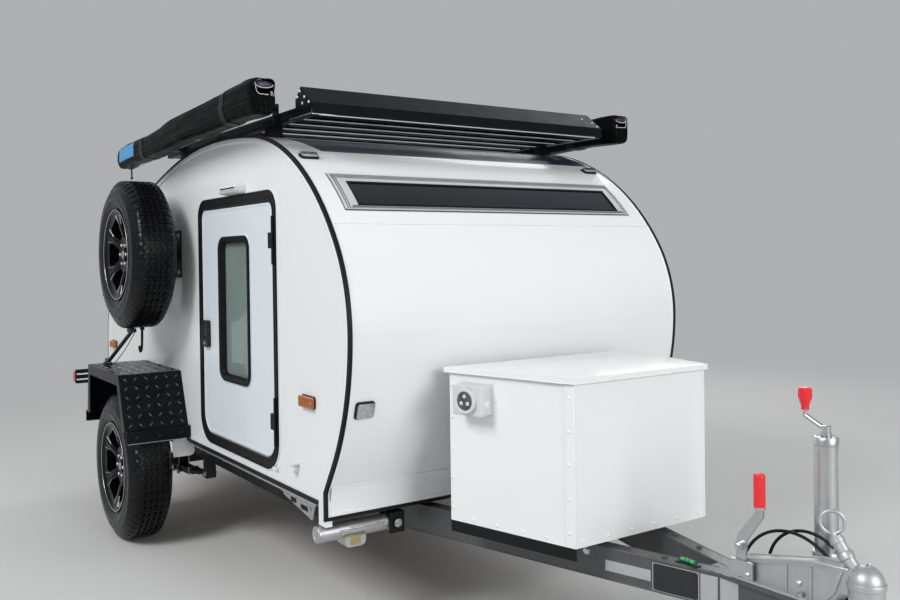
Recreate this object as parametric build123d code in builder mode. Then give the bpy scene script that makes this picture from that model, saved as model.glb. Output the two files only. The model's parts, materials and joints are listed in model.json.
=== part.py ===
from build123d import *
import math
import os

# Teardrop camping trailer in millimetres: +X forward to the hitch, +Y to its left, +Z up,
# origin on the ground below the middle of its length.
os.makedirs("parts", exist_ok=True)

# Overall places, measured from the lower front corner of the side walls
hitch_reach = 1545
head_radius = 44
head_x, head_z = hitch_reach - head_radius, 490
crown_back = 918
crown_height = 1812
half_width = 754
floor_z = 480
corner_z = 406
apron_z = 433
apron_x = 50
apron_top = 520

# The roof and nose outline, arc by arc from the crown:
# radius, and the angle of the outward normal where the arc ends (0 nose, 90 crown, 180 tail)
nose_arcs = [(3250, 83), (930, 32), (550, 0), (855, -32)]
tail_arcs = [(2800, 100), (4500, 106), (1540, 140), (500, 180)]

# Panels
wall = 25
skin = 25
floor_thickness = 25
bulkhead_x = 1830
bulkhead_thickness = 18
mattress_thickness = 110
soft_gap = 5
trim_proud = 4
trim_lip = 8
trim_depth = 9
apron_bead = 6

# Windows and doors
window_low, window_high = 41, 52.8
window_half = half_width - 84
pane_low, pane_high = 42.3, 49.6
pane_half = half_width - 142
window_proud = 6
pane_thickness = 4
door_front, door_rear = 309, 1137
door_low, door_high = 517, 1570
door_ring = 32
door_rail = 42
ring_proud = 6
door_corner_low, door_corner_high = 120, 75
door_gap = 5
door_thickness = 24
pane_front, pane_rear = 565, 898
pane_bottom, pane_top = 806, 1405
pane_frame = 24
pane_corner = 55
pane_recess = 16
door_pane_thickness = 6
door_hinge_out = 12
hinge_radius = 5
hinge_pin = 2.5
hinge_length = 90
hinge_strap = 38
pin_gap = 0.3
handle_front, handle_rear = 1016, 1073
handle_low, handle_high = 933, 1047
handle_proud = 14
frame_proud = 7

# Rear hatch and the galley behind it
hatch_angle = 106
hatch_low = 800
hatch_gap = 5
hatch_knuckle = 8
hatch_hinge_back = 18
bench_top = 850
bench_back = 2640
board = 15
cupboard_low, cupboard_high = 1160, 1440
cupboard_back = 2150

# Lamps
marker_proud = 18
lamp_bar_half = half_width + 191
lamp_bar_low, lamp_bar_high = 600, 680
lamp_bar_thickness = 5
tail_lamp_depth = 38
tail_lamp_width = 150
bar_stays = [-600, 0, 600]
plate_half = 190
seat_gap = 0.3

# Wheels
tyre_radius = 340
rim_face = half_width + 275
axle_x = -1608
spare_x, spare_z = -1494, 1339
hub_depth = 80
bore_radius = 33
drum_radius = 125
beam = 45
rail_y = half_width - 54
spring_y = rail_y
spring_half = 400
leaf_width = 45
leaf_thickness = 7

# Mudguards
guard_top = 787
guard_lip_top, guard_lip_low = 547, 497
guard_outer = half_width + 290
guard_sheet = 4
guard_valance = 45
guard_front, guard_rear = axle_x + 308, axle_x - 442
guard_lip = 35
guard_top_front, guard_top_rear = axle_x + 178, axle_x - 377
gusset_x = guard_front - 30
gusset_thickness = 5
gusset_low, gusset_step = 406, 474
gusset_corner = 22
gusset_out, gusset_in, gusset_tuck = half_width + 73, half_width + 8, half_width - 27

# Chassis
rail_width, rail_height = 50, 70
rail_rear = 2690
cross_places = [-60, -700, -1200, -2016, -2660]
arm_angle = 15
arm_width, arm_height = 50, 100
arm_top = 410
arm_apex = head_x - 401
arm_apex_half = 54
arm_back = -950
rail_low = floor_z - rail_height

# Toolbox
box_front, box_rear = 766, 295
box_front_half, box_rear_half = 288, 410
box_low, sill_low = 434, 397
sill_wall = 4
lid_low, lid_thickness = 927, 17
box_wall = 4
lid_overhang = 12
lid_hinge_out = 6
lid_hinge_radius = 5
lid_knuckles = [-250, 0, 250]
lid_knuckle_length = 60
inlet_x, inlet_z = 412, 850
inlet_width, inlet_height = 118, 97
inlet_depth = 60

# Hitch
ball_radius = 25.2
socket_rise, socket_length = 8, 30
neck_back, neck_half = head_x - 366, 32
neck_top_x, neck_foot_x = head_x - 125, head_x - 81
pull_x, pull_z, pull_radius, pull_bar = head_x - 90, 620, 29, 5
nose_plate_front, nose_plate = head_x - 61, 12
lever_y, lever_thickness = -39, 8
lever_x, pivot_z, pivot_radius = head_x - 341, 505, 13
grip_x, grip_low, grip_high, grip_radius = head_x - 278, 622, 714, 16
jack_x, jack_y = head_x - 183, 120
jack_radius = 31.5
jack_low, jack_high = 300, 809
stem_radius = 27
clamp_half, clamp_height = 40, 60
crank_reach, crank_bar = 62, 7
knob_low, knob_high, knob_radius = 876, 935, 17
jockey_radius = 100
jockey_width = 60
jockey_trail = 30
fork_top = 240

# Corner steadies
steady_x = 0
steady_pivot_y = half_width - 289
steady_z = 372
steady_length = 300
steady_size = 58
foot_drop = 56

# Roof rack and awnings
rack_z = 1820
rack_rail, rail_bar = 40, 30
rack_half = half_width - 54
rack_front, rack_rear = 122.3, 1740
slat_width, slat_thickness = 58, 18
slat_pitch = 128
foot_angles = [82, 92, 101.5]
fairing_high, fairing_low = (208, 1929), (114, 1824)
fairing_crease = (122, rack_z + rack_rail + 1)
fairing_sheet = 4
fairing_back = 250
awning_y = half_width + 108
awning_width, awning_height = 110, 105
awning_front, awning_rear = 150, 1900
awning_front_z, awning_tilt = 1897, 2.4
awning_corner = 38
awning_bracket_places = [420, 1500]
bracket_half, bracket_sheet = 25, 5

# Brackets, stay and cables
slotted_top = [(-338, 459), (-74, 447)]
slotted_low = [(-104, 391), (-339, 436)]
# the slots' lower and upper edge: front and rear x behind the corner, middle z
slot_places = [(-278, -227, 432), (-194, -130, 422)]
slot_half = 9
stay_foot_x, stay_head_x = axle_x - 312, spare_x + 14
stay_head_drop = 14
stay_y, stay_radius = half_width + 210, 9
# each cable's rear and front foot behind the head, its top, and its y
cable_arcs = [(396, 75, 550, 39.5), (313, 69, 560, 49.5)]
cable_radius = 4.5

sides = [("right", -1), ("left", 1)]


def cos(angle):
    """Cosine of an angle in degrees."""
    return math.cos(math.radians(angle))


def sin(angle):
    """Sine of an angle in degrees."""
    return math.sin(math.radians(angle))


def skin_arcs(front):
    """List the outline's arcs: centre x, centre z, radius, start and end angle of the normal."""
    arcs = []
    for table in (nose_arcs, tail_arcs):
        x, z, at = front - crown_back, crown_height, 90
        for radius, end in table:
            centre_x = x - radius * cos(at)
            centre_z = z - radius * sin(at)
            arcs.append((centre_x, centre_z, radius, at, end))
            x = centre_x + radius * cos(end)
            z = centre_z + radius * sin(end)
            at = end
    return arcs


def point_on(arcs, angle, inset=0):
    """The point of the outline whose outward normal has this angle, moved in by inset."""
    for centre_x, centre_z, radius, start, end in arcs:
        if min(start, end) <= angle <= max(start, end):
            reach = radius - inset
            return (centre_x + reach * cos(angle), centre_z + reach * sin(angle))


# Places along X: the model is centred between the coupling's nose and the tail lamps
tail_back = -point_on(skin_arcs(0), 180)[0]
bar_back = tail_back + trim_proud
rear_reach = bar_back + lamp_bar_thickness + tail_lamp_depth
front_x = (rear_reach - hitch_reach) / 2
outline_arcs = skin_arcs(front_x)
inner_half = half_width - wall
nose_end = nose_arcs[-1][1]


def at_x(distance):
    """The model's x at this distance ahead of the lower front corner."""
    return front_x + distance


def skin_point(angle, inset=0):
    """A point of the roof and nose outline by the angle of its normal."""
    return point_on(outline_arcs, angle, inset)


def block(x, y, z, mode=Mode.ADD):
    """A block between two values on each axis, in the open part."""
    size = [abs(pair[1] - pair[0]) for pair in (x, y, z)]
    centre = [(pair[0] + pair[1]) / 2 for pair in (x, y, z)]
    with Locations(tuple(centre)):
        Box(*size, mode=mode)


def rod(start, end, radius, mode=Mode.ADD):
    """A round bar from one point to another, in the open part."""
    line = Vector(*end) - Vector(*start)
    with Locations(Plane(origin=start, z_dir=line)):
        Cylinder(radius, line.length, align=(Align.CENTER, Align.CENTER, Align.MIN), mode=mode)


def plate(shape, y_one, y_two, mode=Mode.ADD):
    """A profile drawn in the XZ plane, made solid between two y values, in the open part."""
    start = shape.moved(Location((0, max(y_one, y_two), 0)))
    extrude(start, amount=abs(y_two - y_one), dir=(0, -1, 0), mode=mode)


def polygon_xz(points):
    """A closed straight-sided profile in the XZ plane."""
    with BuildSketch(Plane.XZ) as shape:
        with BuildLine():
            Polyline(*points, close=True)
        make_face()
    return shape.sketch


def rounded_xz(x, z, radius_low, radius_high, grow=0):
    """A rectangle in the XZ plane with its own radius for the lower and the upper corners."""
    with BuildSketch(Plane.XZ) as shape:
        with Locations(((x[0] + x[1]) / 2, (z[0] + z[1]) / 2)):
            Rectangle(abs(x[1] - x[0]), abs(z[1] - z[0]))
        fillet(shape.vertices().sort_by(Axis.Y)[:2], radius_low)
        fillet(shape.vertices().sort_by(Axis.Y)[-2:], radius_high)
        if grow:
            offset(amount=grow)
    return shape.sketch


def body_outline(grow=0, corner_leg=True):
    """The whole side outline of the body, grown outward, with or without its front corner leg."""
    front = at_x(apron_x + grow)
    slope_x, slope_z = skin_point(nose_end, -grow)
    slope_foot = slope_z - (slope_x - front) / math.tan(math.radians(-nose_end))
    with BuildSketch(Plane.XZ) as shape:
        with BuildLine():
            for centre_x, centre_z, radius, start, end in outline_arcs:
                CenterArc((centre_x, centre_z), radius + grow, start, end - start)
            Polyline(
                (slope_x, slope_z),
                (front, slope_foot),
                *corner_points(front, grow, corner_leg),
                (at_x(-tail_back - grow), floor_z - grow),
                skin_point(180, -grow),
            )
        make_face()
    return shape.sketch


def corner_points(front, grow, corner_leg):
    """The outline's lower front corner, stepped where the corner leg reaches below the floor."""
    if not corner_leg:
        return [(front, floor_z - grow)]
    return [
        (front, corner_z - grow),
        (at_x(-grow), corner_z - grow),
        (at_x(-grow), floor_z - grow),
    ]


def skin_band(start, end, outer=0, inner=skin):
    """A stretch of the skin between two normal angles and two depths below its surface."""
    with BuildSketch(Plane.XZ) as shape:
        with BuildLine():
            for centre_x, centre_z, radius, one, two in outline_arcs:
                low = max(min(one, two), start)
                high = min(max(one, two), end)
                if high > low:
                    CenterArc((centre_x, centre_z), radius - outer, low, high - low)
                    CenterArc((centre_x, centre_z), radius - inner, low, high - low)
            for angle in (start, end):
                Line(skin_point(angle, outer), skin_point(angle, inner))
        make_face()
    return shape.sketch


def skin_plane(angle, y):
    """A plane that lies on the skin at a normal angle, its own x along the body's width."""
    x, z = skin_point(angle)
    return Plane(origin=(x, y, z), x_dir=(0, 1, 0), z_dir=(cos(angle), 0, sin(angle)))


# Side walls: full teardrop panels with their doorways
door_x = (at_x(-door_rear + door_ring), at_x(-door_front - door_ring))
door_z = (door_low + door_rail, door_high - door_rail)
doorway = rounded_xz(door_x, door_z, door_corner_low - door_ring, door_corner_high - door_ring)
for side, sign in sides:
    with BuildPart() as side_wall:
        plate(body_outline(), sign * inner_half, sign * half_width)
        plate(doorway, sign * inner_half, sign * half_width, Mode.SUBTRACT)
    side_wall.part.label = f"side_wall_{side}"
    export_step(side_wall.part, f"parts/side_wall_{side}.step")


# Nose and roof: one curved panel from the apron to the hatch, with the window's opening
def nose_foot_profile():
    """The straight foot of the nose panel, down to the apron's lower edge."""
    high_out = skin_point(nose_end)
    high_in = skin_point(nose_end, skin)
    return polygon_xz(
        [
            high_out,
            (at_x(apron_x), apron_top),
            (at_x(apron_x), apron_z),
            (at_x(apron_x - skin), apron_z),
            (at_x(apron_x - skin), apron_top + skin / 3),
            high_in,
        ]
    )


with BuildPart() as roof_panel:
    plate(skin_band(nose_end, hatch_angle), -inner_half, inner_half)
    plate(nose_foot_profile(), -inner_half, inner_half)
    plate(skin_band(pane_low, pane_high, -10, skin + 10), -pane_half, pane_half, Mode.SUBTRACT)
roof_panel.part.label = "roof_panel"
export_step(roof_panel.part, "parts/roof_panel.step")

with BuildPart() as floor_panel:
    block(
        (at_x(apron_x - skin), at_x(-tail_back + skin)),
        (-inner_half, inner_half),
        (floor_z, floor_z + floor_thickness),
    )
floor_panel.part.label = "floor_panel"
export_step(floor_panel.part, "parts/floor_panel.step")

floor_top = floor_z + floor_thickness
with BuildPart() as bulkhead:
    block(
        (at_x(-bulkhead_x), at_x(-bulkhead_x - bulkhead_thickness)),
        (-inner_half, inner_half),
        (floor_top, crown_height),
    )
    plate(body_outline(-skin, corner_leg=False), -half_width, half_width, Mode.INTERSECT)
bulkhead.part.label = "bulkhead"
export_step(bulkhead.part, "parts/bulkhead.step")

with BuildPart() as mattress:
    block(
        (at_x(-bulkhead_x + soft_gap), at_x(-30)),
        (-inner_half + soft_gap, inner_half - soft_gap),
        (floor_top + seat_gap, floor_top + mattress_thickness),
    )
    fillet(mattress.edges().filter_by(Axis.Z), 40)
    fillet(mattress.faces().sort_by(Axis.Z)[-1].edges(), 25)
mattress.part.label = "mattress"
export_step(mattress.part, "parts/mattress.step")

# Galley: a bench with a worktop and an open cupboard above it
galley_front = at_x(-bulkhead_x - bulkhead_thickness)
with BuildPart() as galley_unit:
    block(
        (galley_front, at_x(-bench_back)),
        (-inner_half, inner_half),
        (bench_top - board, bench_top),
    )
    for y in (-inner_half, -board / 2, inner_half - board):
        block((galley_front, at_x(-bench_back + 40)), (y, y + board), (floor_top, bench_top - board))
    block(
        (galley_front, at_x(-bench_back + 40)),
        (-inner_half, inner_half),
        ((floor_top + bench_top) / 2, (floor_top + bench_top) / 2 + board),
    )
    for z in (cupboard_low, cupboard_high):
        block((galley_front, at_x(-cupboard_back)), (-inner_half, inner_half), (z - board, z))
    for y in (-inner_half, -inner_half / 3, inner_half / 3, inner_half - board):
        block(
            (galley_front, at_x(-cupboard_back)),
            (y, y + board),
            (cupboard_low, cupboard_high - board),
        )
galley_unit.part.label = "galley_unit"
export_step(galley_unit.part, "parts/galley_unit.step")

with BuildPart() as rear_panel:
    block(
        (at_x(-tail_back), at_x(-tail_back + skin)),
        (-inner_half, inner_half),
        (floor_top, hatch_low),
    )
    block(
        (at_x(-tail_back), at_x(-tail_back + skin)),
        (-inner_half, inner_half),
        (floor_z, floor_top),
    )
rear_panel.part.label = "rear_panel"
export_step(rear_panel.part, "parts/rear_panel.step")

# Black edge moulding round each side wall, with a lip on the wall's face
with BuildPart() as edge_trims:
    for side, sign in sides:
        face = sign * half_width
        proud = sign * (half_width + trim_proud)
        plate(body_outline(trim_proud), sign * (half_width - trim_depth), proud)
        plate(body_outline(), sign * (half_width - trim_depth), face, Mode.SUBTRACT)
        plate(body_outline(-trim_lip), face, proud, Mode.SUBTRACT)
        across = (sign * (half_width - trim_depth - 1), sign * (half_width + trim_proud + 1))
        low = corner_z - trim_proud - 1
        leg_front = at_x(apron_x - trim_lip)
        block((at_x(-trim_proud - 1), leg_front), across, (low, floor_z - trim_proud), Mode.SUBTRACT)
        block((at_x(0), leg_front), across, (low, floor_z + trim_lip + 1), Mode.SUBTRACT)
        block((leg_front - 1, at_x(apron_x + trim_proud + 1)), across, (low, apron_z - apron_bead),
              Mode.SUBTRACT)
    bead_y = (-half_width + trim_depth, half_width - trim_depth)
    block((at_x(apron_x), at_x(apron_x + trim_proud)), bead_y,
          (apron_z - apron_bead, apron_z + apron_bead))
    block((at_x(apron_x - skin), at_x(apron_x + trim_proud)), (-inner_half, inner_half),
          (apron_z - apron_bead, apron_z))
edge_trims.part.label = "edge_trims"
export_step(edge_trims.part, "parts/edge_trims.step")

# Front window: a frame that follows the nose, and its pane
with BuildPart() as window_frame:
    plate(skin_band(window_low, window_high, -window_proud, 0), -window_half, window_half)
    plate(skin_band(pane_low, pane_high, -window_proud, 0), -pane_half, pane_half, Mode.SUBTRACT)
window_frame.part.label = "window_frame"
export_step(window_frame.part, "parts/window_frame.step")

with BuildPart() as window_pane:
    plate(
        skin_band(pane_low, pane_high, -window_proud + 2, -window_proud + 2 + pane_thickness),
        -pane_half,
        pane_half,
    )
window_pane.part.label = "window_pane"
export_step(window_pane.part, "parts/window_pane.step")

# Lamps and small fittings
# x behind the corner, z, length, height
amber_places = [(62, 817, 100, 38), (2596, 829, 100, 38)]
with BuildPart() as marker_lamps:
    for back, z, length, height in amber_places:
        for side, sign in sides:
            with BuildSketch(Plane.XZ.offset(-sign * half_width)):
                with Locations((at_x(-back), z)):
                    RectangleRounded(length, height, 8)
            extrude(amount=-sign * marker_proud)
marker_lamps.part.label = "marker_lamps"
export_step(marker_lamps.part, "parts/marker_lamps.step")

# normal angle, width, height along the skin, proud
corner_lamp_places = [(60.7, 64, 27, 14), (-17, 62, 50, 12)]
corner_lamp_y = half_width - 70
with BuildPart() as corner_lamps:
    for angle, width, height, proud in corner_lamp_places:
        for side, sign in sides:
            with BuildSketch(skin_plane(angle, sign * corner_lamp_y)):
                RectangleRounded(width, height, 8)
            extrude(amount=proud + 2)
    plate(body_outline(), -half_width, half_width, Mode.SUBTRACT)
corner_lamps.part.label = "corner_lamps"
export_step(corner_lamps.part, "parts/corner_lamps.step")

porch_x, porch_z, porch_proud = (600, 780), (1573, 1611), 40
vent_x, vent_z, vent_radius, vent_proud = 166, 568, 16, 18
brim_half, brim_proud, brim_thickness = 22, 26, 6
with BuildPart() as side_fittings:
    for side, sign in sides:
        face = sign * half_width
        porch = rounded_xz((at_x(-porch_x[1]), at_x(-porch_x[0])), porch_z, 15, 15)
        plate(porch, face, sign * (half_width + porch_proud))
        rod((at_x(-vent_x), face, vent_z), (at_x(-vent_x), sign * (half_width + vent_proud), vent_z),
            vent_radius)
        block((at_x(-vent_x - brim_half), at_x(-vent_x + brim_half)),
              (face, sign * (half_width + brim_proud)),
              (vent_z + vent_radius - 2, vent_z + vent_radius + brim_thickness - 2))
side_fittings.part.label = "side_fittings"
export_step(side_fittings.part, "parts/side_fittings.step")

with BuildPart() as lamp_bar:
    block(
        (at_x(-bar_back), at_x(-bar_back - lamp_bar_thickness)),
        (-lamp_bar_half, lamp_bar_half),
        (lamp_bar_low, lamp_bar_high),
    )
    fillet(lamp_bar.edges().filter_by(Axis.X), 12)
    for y in bar_stays:
        block((at_x(-tail_back), at_x(-bar_back)), (y - 40, y + 40), (lamp_bar_low, lamp_bar_high))
    block(
        (at_x(-bar_back - lamp_bar_thickness), at_x(-bar_back - lamp_bar_thickness - 8)),
        (-plate_half, plate_half),
        (lamp_bar_low - 10, lamp_bar_high - 5),
    )
lamp_bar.part.label = "lamp_bar"
export_step(lamp_bar.part, "parts/lamp_bar.step")

with BuildPart() as tail_lamps:
    for side, sign in sides:
        outer = sign * (lamp_bar_half - 5)
        block(
            (at_x(-bar_back - lamp_bar_thickness), at_x(-rear_reach)),
            (outer - sign * tail_lamp_width, outer),
            (lamp_bar_low + 5, lamp_bar_high - 5),
        )
tail_lamps.part.label = "tail_lamps"
export_step(tail_lamps.part, "parts/tail_lamps.step")

# Doors: a black ring on the wall, a leaf with a window, a hinge at the front edge and a handle
ring_x = (at_x(-door_rear), at_x(-door_front))
ring_z = (door_low, door_high)
hinge_x = at_x(-door_front - door_ring / 2)
hinge_heights = [door_low + 190, door_high - 190]
leaf_x = (door_x[0] + door_gap, door_x[1] - door_gap)
leaf_z = (door_z[0] + door_gap, door_z[1] - door_gap)
pane_x = (at_x(-pane_rear + pane_frame), at_x(-pane_front - pane_frame))
pane_z = (pane_bottom + pane_frame, pane_top - pane_frame)
pane_shape = rounded_xz(pane_x, pane_z, pane_corner - pane_frame, pane_corner - pane_frame)
knuckle_half = hinge_length / 3
with BuildPart() as door_rings:
    for side, sign in sides:
        face = sign * half_width
        ring = rounded_xz(ring_x, ring_z, door_corner_low, door_corner_high)
        plate(ring, face, sign * (half_width + ring_proud))
        plate(doorway, face, sign * (half_width + ring_proud), Mode.SUBTRACT)
        hinge_y = sign * (half_width + door_hinge_out)
        for z in hinge_heights:
            rod((hinge_x, hinge_y, z - hinge_length), (hinge_x, hinge_y, z + hinge_length),
                hinge_pin)
            for low in (z - hinge_length, z + knuckle_half + 0.5):
                high = low + hinge_length - knuckle_half - 0.5
                rod((hinge_x, hinge_y, low), (hinge_x, hinge_y, high), hinge_radius)
                block((hinge_x, hinge_x + hinge_radius), (face, hinge_y), (low, high))
door_rings.part.label = "door_rings"
export_step(door_rings.part, "parts/door_rings.step")

for side, sign in sides:
    face = sign * half_width
    with BuildPart() as door_leaf:
        leaf = rounded_xz(leaf_x, leaf_z, door_corner_low - door_ring - door_gap,
                          door_corner_high - door_ring - door_gap)
        plate(leaf, face, sign * (half_width - door_thickness))
        plate(pane_shape, face, sign * (half_width - door_thickness), Mode.SUBTRACT)
    door_leaf.part.label = f"door_leaf_{side}"
    export_step(door_leaf.part, f"parts/door_leaf_{side}.step")

    with BuildPart() as door_pane:
        plate(pane_shape, sign * (half_width - pane_recess),
              sign * (half_width - pane_recess - door_pane_thickness))
    door_pane.part.label = f"door_pane_{side}"
    export_step(door_pane.part, f"parts/door_pane_{side}.step")

    # the window's frame, the handle, and the leaf's half of each hinge
    hinge_y = sign * (half_width + door_hinge_out)
    strap_y = (hinge_y - sign * 1.5, hinge_y + sign * 1.5)
    with BuildPart() as door_fittings:
        frame = rounded_xz((at_x(-pane_rear), at_x(-pane_front)), (pane_bottom, pane_top),
                           pane_corner, pane_corner)
        plate(frame, face, sign * (half_width + frame_proud))
        plate(pane_shape, face, sign * (half_width + frame_proud), Mode.SUBTRACT)
        handle = rounded_xz((at_x(-handle_rear), at_x(-handle_front)), (handle_low, handle_high), 9, 9)
        plate(handle, face, sign * (half_width + handle_proud))
        for z in hinge_heights:
            low, high = z - knuckle_half + 0.5, z + knuckle_half - 0.5
            rod((hinge_x, hinge_y, low), (hinge_x, hinge_y, high), hinge_radius)
            block((hinge_x - hinge_strap, hinge_x), strap_y, (low, high))
            block((hinge_x - hinge_strap, hinge_x - hinge_strap + 10), (face, strap_y[1]), (low, high))
            rod((hinge_x, hinge_y, low), (hinge_x, hinge_y, high), hinge_pin + pin_gap, Mode.SUBTRACT)
    door_fittings.part.label = f"door_fittings_{side}"
    export_step(door_fittings.part, f"parts/door_fittings_{side}.step")

# Rear hatch: the curved tail panel, and the roof hinge that carries it
tail_arc_radius = tail_arcs[2][0]
gap_angle = math.degrees(hatch_gap / tail_arc_radius)
hinge_angle = hatch_angle + math.degrees(hatch_hinge_back / tail_arc_radius)
hatch_axis = skin_point(hinge_angle, -hatch_knuckle + 1)
knuckle_y = inner_half - 60
with BuildPart() as hatch_leaf:
    plate(skin_band(hatch_angle + gap_angle, 180), -inner_half + hatch_gap, inner_half - hatch_gap)
    block(
        (at_x(-tail_back), at_x(-tail_back + skin)),
        (-inner_half + hatch_gap, inner_half - hatch_gap),
        (hatch_low + hatch_gap, skin_point(180)[1]),
    )
    rod((hatch_axis[0], -knuckle_y, hatch_axis[1]), (hatch_axis[0], knuckle_y, hatch_axis[1]),
        hatch_knuckle)
    rod((hatch_axis[0], -half_width, hatch_axis[1]), (hatch_axis[0], half_width, hatch_axis[1]),
        hinge_pin + pin_gap, Mode.SUBTRACT)
    block((at_x(-tail_back - 22), at_x(-tail_back + 5)), (-70, 70), (hatch_low + 30, hatch_low + 60))
hatch_leaf.part.label = "hatch_leaf"
export_step(hatch_leaf.part, "parts/hatch_leaf.step")

with BuildPart() as hatch_hinge:
    for side, sign in sides:
        y_inner, y_outer = sign * (knuckle_y + 0.5), sign * (inner_half - 20)
        rod((hatch_axis[0], y_inner, hatch_axis[1]), (hatch_axis[0], y_outer, hatch_axis[1]),
            hatch_knuckle - 2)
        rod((hatch_axis[0], y_inner - sign * 40, hatch_axis[1]),
            (hatch_axis[0], y_outer, hatch_axis[1]), hinge_pin)
        plate(skin_band(hatch_angle - 1.2, hatch_angle, -4, 0), y_inner, y_outer)
        plate(skin_band(hatch_angle, hinge_angle, -5, -2), y_inner, y_outer)
hatch_hinge.part.label = "hatch_hinge"
export_step(hatch_hinge.part, "parts/hatch_hinge.step")

# Mudguards: folded sheet over each road wheel, with a lip at the foot of each slope
guard_outline = [
    (guard_front, guard_lip_low),
    (guard_front, guard_lip_top),
    (guard_front - guard_lip, guard_lip_top),
    (guard_top_front, guard_top),
    (guard_top_rear, guard_top),
    (guard_rear + guard_lip, guard_lip_top),
    (guard_rear, guard_lip_top),
    (guard_rear, guard_lip_low),
]
with BuildSketch(Plane.XZ) as guard_shape:
    with BuildLine():
        guard_path = Polyline(*[(at_x(x), z) for x, z in guard_outline])
        offset(guard_path, amount=guard_sheet, side=Side.RIGHT)
    make_face()
valance_outer = [(at_x(x), z) for x, z in guard_outline[2:6]]
valance_inner = [
    (at_x(guard_front - guard_lip - guard_valance), guard_lip_top),
    (at_x(guard_top_front - guard_valance / 2), guard_top - guard_valance),
    (at_x(guard_top_rear + guard_valance / 2), guard_top - guard_valance),
    (at_x(guard_rear + guard_lip + guard_valance), guard_lip_top),
]
with BuildPart() as mudguards:
    for side, sign in sides:
        lip_y = (sign * (guard_outer - guard_sheet), sign * guard_outer)
        plate(guard_shape.sketch, sign * half_width, sign * guard_outer)
        plate(polygon_xz(valance_outer), *lip_y)
        plate(polygon_xz(valance_inner), *lip_y, Mode.SUBTRACT)
mudguards.part.label = "mudguards"
export_step(mudguards.part, "parts/mudguards.step")

# White gussets that tie the mudguards' lips to the chassis
with BuildPart() as guard_gussets:
    for side, sign in sides:
        with BuildSketch(Plane.YZ.offset(at_x(gusset_x))) as gusset_shape:
            with BuildLine():
                Polyline(
                    (sign * gusset_in, guard_lip_top),
                    (sign * gusset_out, guard_lip_top),
                    (sign * gusset_out, gusset_low),
                    (sign * gusset_tuck, gusset_low),
                    (sign * gusset_tuck, gusset_step),
                    (sign * gusset_in, gusset_step),
                    close=True,
                )
            make_face()
            low_corners = gusset_shape.vertices().filter_by_position(Axis.Z, 0, gusset_low + 1)
            fillet(low_corners.sort_by(Axis.Y)[0 if sign < 0 else -1], gusset_corner)
        extrude(amount=-gusset_thickness)
guard_gussets.part.label = "guard_gussets"
export_step(guard_gussets.part, "parts/guard_gussets.step")

# Wheels
# depth behind the rim's outer plane, radius
barrel_outside = [
    (0, 208), (8, 208), (10, 192), (84, 190), (100, 166), (130, 166), (146, 190), (180, 190),
    (182, 208), (190, 208),
]
barrel_inside = [(188, 200), (178, 184), (144, 182), (128, 159), (102, 159), (82, 182), (46, 184)]
# the dished spoke disc: its back in to the hub's bore, then its front out from the cap
web_back = [(44, 178), (72, 84), (hub_depth, 78), (hub_depth, bore_radius), (52, bore_radius), (52, 0)]
web_front = [(40, 0), (44, 36), (50, 39), (50, 58), (46, 74), (14, 178), (12, 186), (0, 200)]
# one opening between two spokes, in the wheel's plane, out from the centre
window_points = [(88, -27), (88, 27), (146, 60), (168, 40), (168, -40), (146, -60)]
# the tyre's section: depth behind the rim's outer plane, radius
tyre_outside = [(10.5, 211), (-7, 262), (12, 318)]
tyre_inside = [(179.5, 211), (197, 262), (178, 318)]
tread = [(26, tyre_radius - 3), (34, tyre_radius), (156, tyre_radius), (164, tyre_radius - 3)]
bead = [(179, 192.3), (11, 192.5)]
spoke_count = 6
wheel_places = [
    ("right", at_x(axle_x), tyre_radius, -1),
    ("left", at_x(axle_x), tyre_radius, 1),
    ("spare", at_x(spare_x), spare_z, -1),
]


def wheel_point(sign, point):
    """A wheel's depth and radius as a point of its section plane."""
    depth, radius = point
    return (sign * (rim_face - depth), radius)


def wheel_section(x, z):
    """A plane through a wheel's axis: its own x is the model's y, its own y the radius."""
    return Plane(origin=(x, 0, z), x_dir=(0, 1, 0), z_dir=(1, 0, 0))


for name, x, z, sign in wheel_places:
    axis = Axis((x, 0, z), (0, 1, 0))
    with BuildPart() as rim:
        with BuildSketch(wheel_section(x, z)):
            with BuildLine():
                rim_points = barrel_outside + barrel_inside + web_back + web_front
                Polyline(*[wheel_point(sign, point) for point in rim_points], close=True)
            make_face()
        revolve(axis=axis)
        face_plane = Plane(origin=(x, sign * (rim_face - 5), z), x_dir=(1, 0, 0), z_dir=(0, -sign, 0))
        with BuildSketch(face_plane):
            with PolarLocations(0, spoke_count):
                Polygon(*window_points, align=None)
        extrude(amount=hub_depth - 10, mode=Mode.SUBTRACT)
    rim.part.label = f"rim_{name}"
    export_step(rim.part, f"parts/rim_{name}.step")

    with BuildPart() as tyre:
        with BuildSketch(wheel_section(x, z)):
            with BuildLine():
                ThreePointArc(*[wheel_point(sign, point) for point in tyre_outside])
                rim_side = [tyre_inside[0]] + bead + [tyre_outside[0]]
                for points in ([tyre_outside[2]] + tread + [tyre_inside[2]], rim_side):
                    Polyline(*[wheel_point(sign, point) for point in points])
                ThreePointArc(*[wheel_point(sign, point) for point in tyre_inside])
            make_face()
        revolve(axis=axis)
    tyre.part.label = f"tyre_{name}"
    export_step(tyre.part, f"parts/tyre_{name}.step")

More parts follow.
